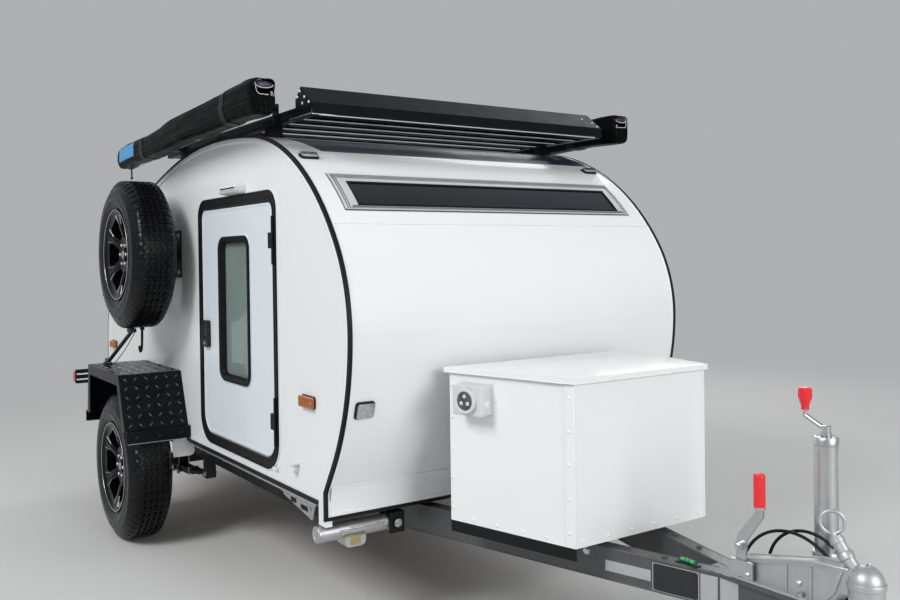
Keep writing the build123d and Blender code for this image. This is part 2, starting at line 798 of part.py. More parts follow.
# Axle: a square beam with brake drums and hub spigots
wheel_x = at_x(axle_x)
drum_face = rim_face - hub_depth - seat_gap
with BuildPart() as axle:
    block((wheel_x - beam / 2, wheel_x + beam / 2), (-drum_face + 60, drum_face - 60),
          (tyre_radius - beam / 2, tyre_radius + beam / 2))
    for side, sign in sides:
        rod((wheel_x, sign * (drum_face - 62), tyre_radius), (wheel_x, sign * drum_face, tyre_radius),
            drum_radius)
        rod((wheel_x, sign * drum_face, tyre_radius),
            (wheel_x, sign * (drum_face + 22), tyre_radius), bore_radius - 1)
axle.part.label = "axle"
export_step(axle.part, "parts/axle.step")

# Leaf springs under the axle, with hangers up to the side rails
spring_top = tyre_radius - beam / 2 - seat_gap
spring_rise = 28
with BuildPart() as leaf_springs:
    for side, sign in sides:
        y = (sign * (spring_y - leaf_width / 2), sign * (spring_y + leaf_width / 2))
        for number, share in enumerate((1, 0.8, 0.58, 0.36)):
            reach = spring_half * share
            rise = spring_rise * share * share
            top = spring_top - number * leaf_thickness
            with BuildSketch(Plane.XZ) as leaf_shape:
                with BuildLine():
                    ThreePointArc((wheel_x - reach, top + rise), (wheel_x, top),
                                  (wheel_x + reach, top + rise))
                    ThreePointArc((wheel_x - reach, top + rise - leaf_thickness),
                                  (wheel_x, top - leaf_thickness),
                                  (wheel_x + reach, top + rise - leaf_thickness))
                    for end in (-reach, reach):
                        Line((wheel_x + end, top + rise), (wheel_x + end, top + rise - leaf_thickness))
                make_face()
            plate(leaf_shape.sketch, *y)
        for end in (-spring_half, spring_half):
            block((wheel_x + end - 20, wheel_x + end + 20), y, (spring_top + 4, rail_low))
        block((wheel_x - 45, wheel_x + 45), y, (spring_top - 4 * leaf_thickness - 8,
                                                  spring_top - 4 * leaf_thickness + 2))
leaf_springs.part.label = "leaf_springs"
export_step(leaf_springs.part, "parts/leaf_springs.step")

# Spare wheel's carrier on the right wall
spare_mid_x = at_x(spare_x)
hub_y = rim_face - hub_depth - seat_gap
with BuildPart() as spare_carrier:
    block((spare_mid_x - 110, spare_mid_x + 110), (-half_width, -half_width - 6),
          (spare_z - 110, spare_z + 110))
    rod((spare_mid_x, -half_width, spare_z), (spare_mid_x, -hub_y, spare_z), 38)
    rod((spare_mid_x, -hub_y + 12, spare_z), (spare_mid_x, -hub_y, spare_z), 75)
    rod((spare_mid_x, -hub_y, spare_z), (spare_mid_x, -hub_y - 22, spare_z), bore_radius - 1)
spare_carrier.part.label = "spare_carrier"
export_step(spare_carrier.part, "parts/spare_carrier.step")

# Chassis: side rails, cross members and the drawbar's two arms
def box_plan(z, grow=0):
    """The toolbox's plan at a height, grown outward by an amount."""
    with BuildSketch(Plane.XY.offset(z)) as shape:
        with BuildLine():
            Polyline(
                (at_x(box_rear), -box_rear_half), (at_x(box_front), -box_front_half),
                (at_x(box_front), box_front_half), (at_x(box_rear), box_rear_half), close=True)
        make_face()
        if grow:
            offset(amount=grow, kind=Kind.INTERSECTION)
    return shape.sketch


def arm_plan(z, sign, grow=0):
    """The plan of one drawbar arm at a height, grown sideways by an amount."""
    back_half = arm_apex_half + (arm_apex - arm_back) * math.tan(math.radians(arm_angle))
    across = arm_width / cos(arm_angle)
    with BuildSketch(Plane.XY.offset(z)) as shape:
        with BuildLine():
            Polyline(
                (at_x(arm_back), sign * (back_half + grow)),
                (at_x(arm_apex), sign * (arm_apex_half + grow)),
                (at_x(arm_apex), sign * (arm_apex_half - across - grow)),
                (at_x(arm_back), sign * (back_half - across - grow)),
                close=True)
        make_face()
    return shape.sketch


with BuildPart() as chassis_frame:
    for side, sign in sides:
        block((at_x(-rail_rear), at_x(-5)),
              (sign * (rail_y - rail_width / 2), sign * (rail_y + rail_width / 2)),
              (rail_low, floor_z))
    inner = rail_y - rail_width / 2
    for x in cross_places:
        block((at_x(x - rail_width / 2), at_x(x + rail_width / 2)), (-inner, inner),
              (rail_low, floor_z))
    extrude(box_plan(arm_top), amount=box_low - arm_top)
    extrude(box_plan(sill_low), amount=arm_top - sill_low)
    extrude(box_plan(sill_low, -sill_wall), amount=arm_top - sill_low, mode=Mode.SUBTRACT)
    for side, sign in sides:
        extrude(arm_plan(sill_low, sign, seat_gap), amount=arm_top - sill_low, mode=Mode.SUBTRACT)
    for side, sign in sides:
        y = sign * steady_pivot_y
        for x in (-steady_size / 2 - 9, steady_size / 2 + 1):
            block((at_x(steady_x + x), at_x(steady_x + x + 8)), (y - 30, y + 30),
                  (steady_z - 35, rail_low))
        rod((at_x(steady_x - steady_size / 2 - 12), y, steady_z),
            (at_x(steady_x + steady_size / 2 + 12), y, steady_z), 8)
        block((at_x(-85), at_x(steady_x + steady_size / 2 + 9)), (y - 30, y + 30),
              (rail_low - 4, rail_low))
chassis_frame.part.label = "chassis_frame"
export_step(chassis_frame.part, "parts/chassis_frame.step")

with BuildPart() as drawbar:
    for side, sign in sides:
        extrude(arm_plan(arm_top - arm_height, sign), amount=arm_height)
    block((at_x(arm_apex - 60), at_x(nose_plate_front)), (-arm_apex_half, arm_apex_half),
          (arm_top - nose_plate, arm_top))
    block((at_x(arm_apex - 60), at_x(nose_plate_front - 40)),
          (-arm_apex_half + 14, arm_apex_half - 14), (arm_top - arm_height, arm_top - nose_plate))
drawbar.part.label = "drawbar"
export_step(drawbar.part, "parts/drawbar.step")

# Toolbox: a tapered sheet box with an overhanging lid
box_high = lid_low + lid_thickness - box_wall - seat_gap
lid_axis = (at_x(box_rear - lid_overhang - lid_hinge_out), lid_low)
with BuildPart() as toolbox_body:
    extrude(box_plan(box_low), amount=box_high - box_low)
    extrude(box_plan(box_low + box_wall, -box_wall), amount=box_high, mode=Mode.SUBTRACT)
    for y in lid_knuckles:
        end = y + lid_knuckle_length / 2
        rod((lid_axis[0], end + 0.5, lid_axis[1]), (lid_axis[0], end + 30, lid_axis[1]),
            lid_hinge_radius)
        rod((lid_axis[0], end - lid_knuckle_length, lid_axis[1]), (lid_axis[0], end + 30, lid_axis[1]),
            hinge_pin / 2)
        block((lid_axis[0] - 2, at_x(box_rear)), (end + 0.5, end + 30), (lid_low - 14, lid_low - 3))
toolbox_body.part.label = "toolbox_body"
export_step(toolbox_body.part, "parts/toolbox_body.step")

with BuildPart() as toolbox_lid:
    extrude(box_plan(lid_low, lid_overhang), amount=lid_thickness)
    extrude(box_plan(lid_low - 1, lid_overhang - box_wall), amount=lid_thickness - box_wall + 1,
            mode=Mode.SUBTRACT)
    for y in lid_knuckles:
        ends = (y - lid_knuckle_length / 2, y + lid_knuckle_length / 2)
        rod((lid_axis[0], ends[0], lid_axis[1]), (lid_axis[0], ends[1], lid_axis[1]), lid_hinge_radius)
        block((lid_axis[0], at_x(box_rear - lid_overhang + 1)), ends,
              (lid_low + 1, lid_low + lid_hinge_radius))
        rod((lid_axis[0], ends[0], lid_axis[1]), (lid_axis[0], ends[1], lid_axis[1]),
            hinge_pin / 2 + pin_gap, Mode.SUBTRACT)
toolbox_lid.part.label = "toolbox_lid"
export_step(toolbox_lid.part, "parts/toolbox_lid.step")

box_taper = math.degrees(math.atan2(box_rear_half - box_front_half, box_front - box_rear))
inlet_y = -(box_rear_half - (inlet_x - box_rear) * math.tan(math.radians(box_taper)))
inlet_plane = Plane(origin=(at_x(inlet_x), inlet_y, inlet_z),
                    x_dir=(cos(box_taper), sin(box_taper), 0),
                    z_dir=(sin(box_taper), -cos(box_taper), 0))
with BuildPart() as power_inlet:
    with BuildSketch(inlet_plane):
        RectangleRounded(inlet_width, inlet_height, 8)
    extrude(amount=inlet_depth)
    outward = Axis(inlet_plane.origin, inlet_plane.z_dir)
    fillet(power_inlet.faces().sort_by(outward)[-1].edges(), 4)
    with BuildSketch(inlet_plane.offset(inlet_depth)):
        Circle(inlet_height * 0.41)
    extrude(amount=10)
power_inlet.part.label = "power_inlet"
export_step(power_inlet.part, "parts/power_inlet.step")

# Coupling: a cast head with its ball socket on a long neck, its release arm and pull ring
socket_top = head_z - socket_rise
head_low = socket_top - socket_length
neck_side = polygon_xz([
    (at_x(neck_back), arm_top), (at_x(neck_back), 458), (at_x(neck_top_x), 512),
    (at_x(head_x), head_z + 30), (at_x(head_x), head_low + 5), (at_x(head_x - 50), head_low + 5),
    (at_x(neck_foot_x), arm_top)])
with BuildPart() as coupling:
    plate(neck_side, -neck_half, neck_half)
    fillet(coupling.edges().filter_by(Axis.Y).sort_by(Axis.Z)[-3:], 8)
    with Locations((at_x(head_x), 0, head_z)):
        Sphere(head_radius)
    rod((at_x(head_x), 0, head_low), (at_x(head_x), 0, head_z), head_radius)
    rod((at_x(head_x), 0, head_z - head_radius - 1), (at_x(head_x), 0, socket_top), ball_radius,
        Mode.SUBTRACT)
    rod((at_x(head_x - 20), 0, head_z + 10), (at_x(pull_x + 8), 0, pull_z - pull_radius - 8), 17)
    rod((at_x(pull_x + 9), 0, pull_z - pull_radius - 12),
        (at_x(pull_x), 0, pull_z - pull_radius + 2), 8)
    with Locations(Plane(origin=(at_x(pull_x), 0, pull_z), z_dir=(0.6, -0.8, 0))):
        Torus(pull_radius, pull_bar)
coupling.part.label = "coupling"
export_step(coupling.part, "parts/coupling.step")

# Handbrake: a cranked flat lever on its pivot at the neck's right side
lever_side = polygon_xz([
    (at_x(lever_x - 17), arm_top), (at_x(lever_x + 17), arm_top), (at_x(lever_x + 22), 520),
    (at_x(grip_x + 12), 596), (at_x(grip_x + 12), grip_low), (at_x(grip_x - 12), grip_low),
    (at_x(grip_x - 12), 606), (at_x(lever_x - 8), 532)])
with BuildPart() as handbrake_lever:
    plate(lever_side, lever_y - lever_thickness / 2, lever_y + lever_thickness / 2)
    rod((at_x(lever_x + 3), lever_y - 14, pivot_z), (at_x(lever_x + 3), -neck_half - seat_gap, pivot_z),
        pivot_radius)
    block((at_x(lever_x - 25), at_x(lever_x + 45)), (lever_y - 10, lever_y - lever_thickness / 2),
          (arm_top, arm_top + 55))
handbrake_lever.part.label = "handbrake_lever"
export_step(handbrake_lever.part, "parts/handbrake_lever.step")

# Grips: the handbrake's sleeve and the jack's crank knob
jack = (at_x(jack_x), jack_y)
knob_x = jack[0] - crank_reach
with BuildPart() as hand_grips:
    rod((at_x(grip_x), lever_y, grip_low), (at_x(grip_x), lever_y, grip_high), grip_radius)
    fillet(hand_grips.edges().filter_by(GeomType.CIRCLE).sort_by(Axis.Z)[-1], 8)
    with BuildSketch(Plane(origin=(knob_x, jack_y, 0), x_dir=(1, 0, 0), z_dir=(0, -1, 0))):
        with BuildLine():
            Polyline((0, knob_low), (crank_bar + 4, knob_low), (crank_bar + 4, knob_low + 12),
                     (knob_radius, knob_low + 28), (knob_radius, knob_high), (0, knob_high),
                     close=True)
        make_face()
    revolve(axis=Axis((knob_x, jack_y, 0), (0, 0, 1)))
hand_grips.part.label = "hand_grips"
export_step(hand_grips.part, "parts/hand_grips.step")

# Brake and breakaway cables, held at both feet on the drawbar's nose
with BuildPart() as brake_cables:
    for rear, front, top, y in cable_arcs:
        with BuildLine(Plane.XZ.offset(-y)) as route:
            ThreePointArc((at_x(head_x - rear), arm_top),
                          (at_x(head_x - (rear + front) / 2), top),
                          (at_x(head_x - front), arm_top))
        with BuildSketch(Plane(origin=route.line @ 0, z_dir=route.line % 0)):
            Circle(cable_radius)
        sweep(path=route.line)
    block((at_x(neck_back - 80), at_x(head_x)), (neck_half, arm_apex_half + 20),
          (arm_top - 30, arm_top + seat_gap), Mode.SUBTRACT)
brake_cables.part.label = "brake_cables"
export_step(brake_cables.part, "parts/brake_cables.step")

# Jockey wheel: outer tube in its clamp, sliding stem, swivelling fork and wheel
clamp_x = (jack[0] - clamp_half, jack[0] + clamp_half)
with BuildPart() as jockey_tube:
    rod((*jack, jack_low), (*jack, jack_high), jack_radius)
    rod((*jack, jack_low), (*jack, jack_high - 60), stem_radius + pin_gap, Mode.SUBTRACT)
    block(clamp_x, (arm_apex_half + seat_gap, jack_y - jack_radius + 2),
          (arm_top - nose_plate, arm_top + clamp_height))
    block(clamp_x, (arm_apex_half - 8, arm_apex_half + seat_gap + 1),
          (arm_top, arm_top + clamp_height))
    rod((*jack, jack_high), (*jack, jack_high + 26), 12)
    rod((*jack, jack_high + 20), (knob_x, jack_y, knob_low - 16), crank_bar)
    rod((knob_x, jack_y, knob_low - 22), (knob_x, jack_y, knob_low - seat_gap), crank_bar)
jockey_tube.part.label = "jockey_tube"
export_step(jockey_tube.part, "parts/jockey_tube.step")

with BuildPart() as jockey_stem:
    rod((*jack, fork_top + seat_gap), (*jack, jack_high - 260), stem_radius)
jockey_stem.part.label = "jockey_stem"
export_step(jockey_stem.part, "parts/jockey_stem.step")

jockey_x = jack[0] - jockey_trail
fork_side = polygon_xz([
    (jack[0] - 45, fork_top), (jack[0] + 30, fork_top),
    (jockey_x + 18, jockey_radius - 15), (jockey_x - 18, jockey_radius - 15)])
with BuildPart() as jockey_fork:
    block((jack[0] - 45, jack[0] + 30), (jack_y - 42, jack_y + 42), (fork_top - 12, fork_top))
    for sign in (-1, 1):
        plate(fork_side, jack_y + sign * 37, jack_y + sign * 42)
    rod((jockey_x, jack_y - 42, jockey_radius), (jockey_x, jack_y + 42, jockey_radius), 8)
jockey_fork.part.label = "jockey_fork"
export_step(jockey_fork.part, "parts/jockey_fork.step")

with BuildPart() as jockey_wheel:
    rod((jockey_x, jack_y - jockey_width / 2, jockey_radius),
        (jockey_x, jack_y + jockey_width / 2, jockey_radius), jockey_radius)
    fillet(jockey_wheel.edges().filter_by(GeomType.CIRCLE), 12)
    rod((jockey_x, jack_y - jockey_width, jockey_radius),
        (jockey_x, jack_y + jockey_width, jockey_radius), 8 + pin_gap / 3, Mode.SUBTRACT)
jockey_wheel.part.label = "jockey_wheel"
export_step(jockey_wheel.part, "parts/jockey_wheel.step")

# Corner steadies: legs that fold down about a fore-and-aft pin
for side, sign in sides:
    with BuildPart() as steady:
        rod((at_x(steady_x), sign * (steady_pivot_y - 8), steady_z),
            (at_x(steady_x), sign * (steady_pivot_y + steady_length), steady_z), steady_size / 2)
        foot_y = sign * (steady_pivot_y + steady_length - 136)
        block((at_x(steady_x - 30), at_x(steady_x + 30)), (foot_y - 41, foot_y + 41),
              (steady_z - foot_drop, steady_z - 20))
        fillet(steady.edges().group_by(Axis.Z)[0].filter_by(Axis.X), 18)
        rod((at_x(steady_x - 60), sign * steady_pivot_y, steady_z),
            (at_x(steady_x + 60), sign * steady_pivot_y, steady_z), 8 + pin_gap / 3, Mode.SUBTRACT)
    steady.part.label = f"steady_{side}"
    export_step(steady.part, f"parts/steady_{side}.step")

# Roof rack: side rails and flat slats on six feet, with the awnings' brackets
def awning_middle(back):
    """The height of the awnings' middle at a distance behind the corner."""
    return awning_front_z - (back - awning_front) * math.tan(math.radians(awning_tilt))


with BuildPart() as roof_rack:
    for side, sign in sides:
        block((at_x(-rack_rear), at_x(-rack_front)), (sign * (rack_half - rail_bar), sign * rack_half),
              (rack_z, rack_z + rack_rail))
        for angle in foot_angles:
            x, z = skin_point(angle)
            block((x - 35, x + 35), (sign * (rack_half - 50), sign * (rack_half - 5)),
                  (z - 40, rack_z))
        for back in awning_bracket_places:
            middle = awning_middle(back)
            x = (at_x(-back - bracket_half), at_x(-back + bracket_half))
            block(x, (sign * rack_half, sign * (rack_half + bracket_sheet)),
                  (rack_z + 5, max(middle + 10, rack_z + rack_rail)))
            block(x, (sign * rack_half, sign * (awning_y - awning_width / 2 - seat_gap)),
                  (middle - 10, middle + 10))
    plate(body_outline(), -half_width, half_width, Mode.SUBTRACT)
roof_rack.part.label = "roof_rack"
export_step(roof_rack.part, "parts/roof_rack.step")

slat_reach = rack_half - rail_bar - seat_gap
with BuildPart() as rack_slats:
    slat_x = -rack_front - slat_width / 2
    while slat_x > -rack_rear + slat_width / 2:
        block((at_x(slat_x - slat_width / 2), at_x(slat_x + slat_width / 2)),
              (-slat_reach, slat_reach), (rack_z, rack_z + slat_thickness))
        slat_x -= slat_pitch
rack_slats.part.label = "rack_slats"
export_step(rack_slats.part, "parts/rack_slats.step")

# Fairing: a folded sheet across the rack's nose, with a cheek plate at each end
rail_top = rack_z + rack_rail + seat_gap
with BuildPart() as rack_fairing:
    folds = [fairing_high, fairing_crease, fairing_low]
    front_side = [(at_x(-back + fairing_sheet), z + 2) for back, z in reversed(folds)]
    plate(polygon_xz([(at_x(-back), z) for back, z in folds] + front_side), -rack_half, rack_half)
    cheek = polygon_xz([
        (at_x(-fairing_high[0]), fairing_high[1]),
        (at_x(-fairing_crease[0]), fairing_crease[1] + 1),
        (at_x(-fairing_crease[0] - 8), rail_top),
        (at_x(-fairing_back), rail_top),
        (at_x(-fairing_back), rail_top + 30)])
    for side, sign in sides:
        plate(cheek, sign * (rack_half - fairing_sheet), sign * rack_half)
rack_fairing.part.label = "rack_fairing"
export_step(rack_fairing.part, "parts/rack_fairing.step")

with BuildPart() as awnings:
    for side, sign in sides:
        bag_plane = Plane(origin=(at_x(-awning_front), sign * awning_y, awning_front_z),
                          x_dir=(0, 1, 0), z_dir=(-cos(awning_tilt), 0, -sin(awning_tilt)))
        with BuildSketch(bag_plane):
            RectangleRounded(awning_width, awning_height, awning_corner)
        extrude(amount=awning_rear - awning_front)
awnings.part.label = "awnings"
export_step(awnings.part, "parts/awnings.step")

# Slotted brackets under the front of each sill
with BuildPart() as front_brackets:
    for side, sign in sides:
        bracket_y = (sign * (rail_y + rail_width / 2 + seat_gap),
                     sign * (rail_y + rail_width / 2 + bracket_sheet))
        outline = [(at_x(x), z) for x, z in slotted_top + slotted_low]
        plate(polygon_xz(outline), *bracket_y)
        for rear, front, z in slot_places:
            slot = rounded_xz((at_x(rear), at_x(front)), (z - slot_half, z + slot_half), 6, 6)
            plate(slot, *bracket_y, Mode.SUBTRACT)
front_brackets.part.label = "front_brackets"
export_step(front_brackets.part, "parts/front_brackets.step")

# Stay: a rod from the right mudguard's top up to the spare tyre
foot_z = guard_top + guard_sheet + seat_gap
stay_top = spare_z - tyre_radius - 1
with BuildPart() as spare_stay:
    rod((at_x(stay_foot_x), -stay_y, foot_z + stay_radius),
        (at_x(stay_head_x), -stay_y, stay_top - stay_head_drop), stay_radius)
    block((at_x(stay_foot_x - 28), at_x(stay_foot_x + 28)), (-stay_y - 16, -stay_y + 16),
          (foot_z, foot_z + 10))
    block((at_x(stay_head_x - 28), at_x(stay_head_x + 28)), (-stay_y - 14, -stay_y + 14),
          (stay_top - stay_head_drop - 4, stay_top))
spare_stay.part.label = "spare_stay"
export_step(spare_stay.part, "parts/spare_stay.step")
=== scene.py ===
import bmesh
import bpy
import json
import math
from contextlib import contextmanager
from mathutils import Matrix, Vector, noise

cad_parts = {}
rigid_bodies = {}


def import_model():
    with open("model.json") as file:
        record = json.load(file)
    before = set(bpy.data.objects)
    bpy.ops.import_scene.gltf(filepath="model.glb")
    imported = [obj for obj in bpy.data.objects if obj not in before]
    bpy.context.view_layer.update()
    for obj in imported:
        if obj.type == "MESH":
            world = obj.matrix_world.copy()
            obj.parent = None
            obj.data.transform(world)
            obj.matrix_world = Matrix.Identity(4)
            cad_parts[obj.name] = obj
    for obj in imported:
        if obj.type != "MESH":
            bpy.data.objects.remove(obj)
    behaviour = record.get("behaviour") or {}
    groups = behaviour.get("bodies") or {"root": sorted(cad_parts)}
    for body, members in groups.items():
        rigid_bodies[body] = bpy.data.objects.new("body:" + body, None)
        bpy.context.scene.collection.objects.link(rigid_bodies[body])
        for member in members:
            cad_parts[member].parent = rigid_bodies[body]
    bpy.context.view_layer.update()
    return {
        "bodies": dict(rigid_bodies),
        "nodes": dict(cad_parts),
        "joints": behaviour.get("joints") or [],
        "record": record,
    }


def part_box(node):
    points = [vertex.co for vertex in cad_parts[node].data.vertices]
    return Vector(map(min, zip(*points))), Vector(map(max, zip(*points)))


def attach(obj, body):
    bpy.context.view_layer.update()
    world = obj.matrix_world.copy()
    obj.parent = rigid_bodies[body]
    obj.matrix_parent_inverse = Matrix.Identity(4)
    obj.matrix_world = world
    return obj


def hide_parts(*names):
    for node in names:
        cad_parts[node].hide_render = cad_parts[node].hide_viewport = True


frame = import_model()
scene = bpy.context.scene

# Places are in metres. Those measured from the photograph count from the lower front corner of
# the side walls, which stands here in the model.
front_x = 0.6186854
half_width = 0.754
sides = [("right", -1), ("left", 1)]


def at(x, y, z):
    """A measured place, in the model's frame."""
    return Vector((front_x + x, y, z))


def measured(rear, front):
    """Two measured places along the trailer, in the model's frame."""
    return (front_x + rear, front_x + front)


def about(middle, half):
    """The two places at the same distance from a middle."""
    return (middle - half, middle + half)


def off_wall(sign, low, high):
    """Two widths, measured out from a side wall's face."""
    return (sign * (half_width + low), sign * (half_width + high))


# The photograph's camera: place, direction and lens
camera_place = at(2.768, -2.1304, 1.3142)
camera_yaw, camera_pitch, camera_roll = 146.509, 0.7185, -0.755
lens_pixels, centre_x, centre_y = 905.0, 427.12, 267.40
image_width, image_height = 900, 600
sensor_width = 36


def make_camera():
    """The camera, turned and shifted as the photograph's."""
    yaw, pitch, roll = (math.radians(a) for a in (camera_yaw, camera_pitch, camera_roll))
    forward = Vector((math.cos(yaw) * math.cos(pitch), math.sin(yaw) * math.cos(pitch),
                      -math.sin(pitch)))
    level_right = Vector((math.sin(yaw), -math.cos(yaw), 0))
    level_up = level_right.cross(forward)
    right = math.cos(roll) * level_right + math.sin(roll) * level_up
    up = -math.sin(roll) * level_right + math.cos(roll) * level_up
    data = bpy.data.cameras.new("camera")
    data.sensor_width = sensor_width
    data.lens = sensor_width * lens_pixels / image_width
    data.shift_x = (image_width / 2 - centre_x) / image_width
    data.shift_y = (centre_y - image_height / 2) / image_width
    data.clip_end = 200
    camera = bpy.data.objects.new("camera", data)
    turn = Matrix((right, up, -forward)).transposed().to_4x4()
    camera.matrix_world = Matrix.Translation(camera_place) @ turn
    scene.collection.objects.link(camera)
    scene.camera = camera


make_camera()


# Materials. The noise node keeps between these two values nearly everywhere.
noise_low, noise_high = 0.3, 0.7
coat_rough = 0.05


def nodes_of(material):
    """The node tree of a material, with its surface node."""
    tree = material.node_tree
    return tree, next(n for n in tree.nodes if n.type == "BSDF_PRINCIPLED")


def add_node(tree, kind, **values):
    """A node with its properties and the inputs named by socket set."""
    node = tree.nodes.new(kind)
    for key, value in values.items():
        if hasattr(node, key):
            setattr(node, key, value)
        else:
            node.inputs[key.replace("_", " ")].default_value = value
    return node


def object_noise(tree, size, detail, stretch):
    """Noise in the object's own metres, its cells about size across."""
    place = add_node(tree, "ShaderNodeTexCoord")
    scale = add_node(tree, "ShaderNodeMapping", Scale=stretch)
    tree.links.new(place.outputs["Object"], scale.inputs["Vector"])
    cells = add_node(tree, "ShaderNodeTexNoise", Scale=1 / size, Detail=detail)
    tree.links.new(scale.outputs["Vector"], cells.inputs["Vector"])
    return cells.outputs["Fac"]


def spread(tree, source, low, high):
    """Maps a noise value onto a range."""
    node = add_node(tree, "ShaderNodeMapRange", From_Min=noise_low, From_Max=noise_high,
                    To_Min=low, To_Max=high)
    tree.links.new(source, node.inputs["Value"])
    return node.outputs["Result"]


def surface(name, color, rough, shade=(0.06, 0.25), grain=None, metallic=0.0, coat=0.0,
            rough_spread=0.05, stretch=(1, 1, 1), sheen=0.0, transmission=0.0, specular=0.5):
    """A procedural surface: uneven colour and gloss, shade as its depth and the cells' size,
    and a bump, grain as its height and the cells' size."""
    material = bpy.data.materials.new(name)
    material.use_nodes = True
    tree, shader = nodes_of(material)
    links = tree.links
    depth, size = shade
    cells = object_noise(tree, size, 1.0, stretch)
    mix = add_node(tree, "ShaderNodeMix", data_type="RGBA")
    mix.inputs["A"].default_value = (*(c * (1 - depth) for c in color), 1)
    mix.inputs["B"].default_value = (*color, 1)
    links.new(spread(tree, cells, 0, 1), mix.inputs["Factor"])
    links.new(mix.outputs["Result"], shader.inputs["Base Color"])
    fine = object_noise(tree, size / 3, 1.5, stretch)
    low, high = max(0.02, rough - rough_spread), min(1.0, rough + rough_spread)
    links.new(spread(tree, fine, low, high), shader.inputs["Roughness"])
    for socket, value in (("Metallic", metallic), ("Coat Weight", coat),
                          ("Coat Roughness", coat_rough), ("Sheen Weight", sheen),
                          ("Transmission Weight", transmission), ("IOR", 1.5),
                          ("Specular IOR Level", specular)):
        shader.inputs[socket].default_value = value
    if grain:
        height, size = grain
        bump = add_node(tree, "ShaderNodeBump", Strength=1.0, Distance=height)
        links.new(object_noise(tree, size, 4.0, stretch), bump.inputs["Height"])
        links.new(bump.outputs["Normal"], shader.inputs["Normal"])
    return material


def wood(name, light, dark):
    """Plywood: long growth lines under a satin varnish."""
    material = surface(name, light, 0.42, grain=(0.0002, 0.004), coat=0.15, stretch=(1, 12, 12))
    mix = next(n for n in material.node_tree.nodes if n.type == "MIX")
    mix.inputs["A"].default_value = (*dark, 1)
    return material


# paint
white = surface("white_paint", (0.78, 0.80, 0.803), 0.30, (0.008, 0.9), (0.00002, 0.005),
                coat=0.3, rough_spread=0.015)
door_white = surface("door_paint", (0.70, 0.755, 0.80), 0.30, (0.02, 0.5), (0.00002, 0.004),
                     coat=0.25, rough_spread=0.015)
powder_black = surface("powder_coat_black", (0.004, 0.005, 0.009), 0.36, (0.15, 0.2),
                       (0.00012, 0.0016), specular=0.09)
slat_black = surface("slat_black", (0.004, 0.005, 0.008), 0.45, (0.15, 0.2), (0.00012, 0.0016),
                     specular=0.03)
plate_black = surface("plate_black", (0.004, 0.006, 0.008), 0.28, (0.25, 0.12), (0.00004, 0.004),
                      specular=0.14)
frame_black = surface("chassis_black", (0.007, 0.007, 0.008), 0.48, (0.3, 0.15), (0.0002, 0.004),
                      specular=0.2)
drawbar_grey = surface("hammered_grey", (0.085, 0.090, 0.092), 0.38, (0.14, 0.02),
                       (0.00035, 0.006), metallic=0.2, rough_spread=0.08)
# a navy-black colour painted as the shadow of the rack and its fairing across the top of the nose
rack_shadow_paint = surface("rack_shadow_paint", (0.026, 0.033, 0.058), 0.34, (0.15, 0.3), specular=0.25)
rim_black = surface("rim_gloss_black", (0.003, 0.003, 0.004), 0.20, (0.1, 0.1), (0.00004, 0.003),
                    coat=0.12, specular=0.2)
# metal
zinc = surface("zinc_plate", (0.55, 0.56, 0.57), 0.33, (0.08, 0.05), (0.00003, 0.003), metallic=1.0)
galvanised = surface("galvanised", (0.52, 0.53, 0.54), 0.42, (0.10, 0.03), (0.00004, 0.01),
                     metallic=0.9, rough_spread=0.06)
cast_silver = surface("cast_silver", (0.50, 0.51, 0.52), 0.45, (0.08, 0.04), (0.00012, 0.004),
                      metallic=0.8)
aluminium = surface("satin_aluminium", (0.66, 0.67, 0.68), 0.30, (0.05, 0.05), (0.00004, 0.002),
                    metallic=1.0)
window_silver = surface("window_silver", (0.70, 0.72, 0.73), 0.34, (0.05, 0.05),
                        (0.00004, 0.002), metallic=0.35)
stainless = surface("stainless", (0.84, 0.85, 0.86), 0.42, (0.04, 0.01), metallic=0.8)
steel_dark = surface("dark_steel", (0.014, 0.014, 0.016), 0.48, (0.3, 0.06), (0.0002, 0.004),
                     metallic=0.2, specular=0.35)
# a lighter grey that paints the highlights on the mudguards' black raised bars
bars_painted_highlight = surface("bars_painted_highlight", (0.16, 0.165, 0.175), 0.22, (0.2, 0.05), (0.00006, 0.004),
                     metallic=0.7)
rim_bright = surface("rim_machined", (0.46, 0.47, 0.49), 0.30, (0.05, 0.02), (0.00004, 0.001),
                     metallic=1.0)
brass_zinc = surface("gold_zinc", (0.52, 0.44, 0.24), 0.36, (0.2, 0.02), (0.00008, 0.003),
                     metallic=0.9, rough_spread=0.1)
# a pale silver that paints the highlights along the black slats' front edges
slat_highlight_paint = surface("slat_edge_highlight_paint", (0.58, 0.59, 0.60), 0.5, (0.05, 0.2))
# rubber and plastic
seal_black = surface("rubber_black", (0.007, 0.007, 0.008), 0.44, (0.2, 0.05), (0.00008, 0.002),
                     specular=0.2)
tyre_rubber = surface("tyre_rubber", (0.005, 0.005, 0.006), 0.30, (0.25, 0.06),
                      (0.00006, 0.003), specular=0.20)
wheel_rubber = surface("jack_wheel_rubber", (0.035, 0.035, 0.036), 0.65, (0.2, 0.04),
                       (0.0002, 0.003))
grip_black = surface("latch_black", (0.010, 0.010, 0.011), 0.35, (0.1, 0.01), (0.00005, 0.0012),
                     specular=0.35)
grip_red = surface("grip_red", (0.72, 0.012, 0.02), 0.34, (0.08, 0.03), (0.00006, 0.002), coat=0.2)
white_plastic = surface("white_plastic", (0.74, 0.76, 0.77), 0.28, (0.03, 0.05),
                        (0.00004, 0.002), coat=0.2)
grey_plastic = surface("grey_plastic", (0.42, 0.44, 0.45), 0.42, (0.05, 0.05), (0.0001, 0.001))
inlet_plastic = surface("inlet_plastic", (0.60, 0.62, 0.62), 0.38, (0.04, 0.05),
                        (0.00008, 0.001))
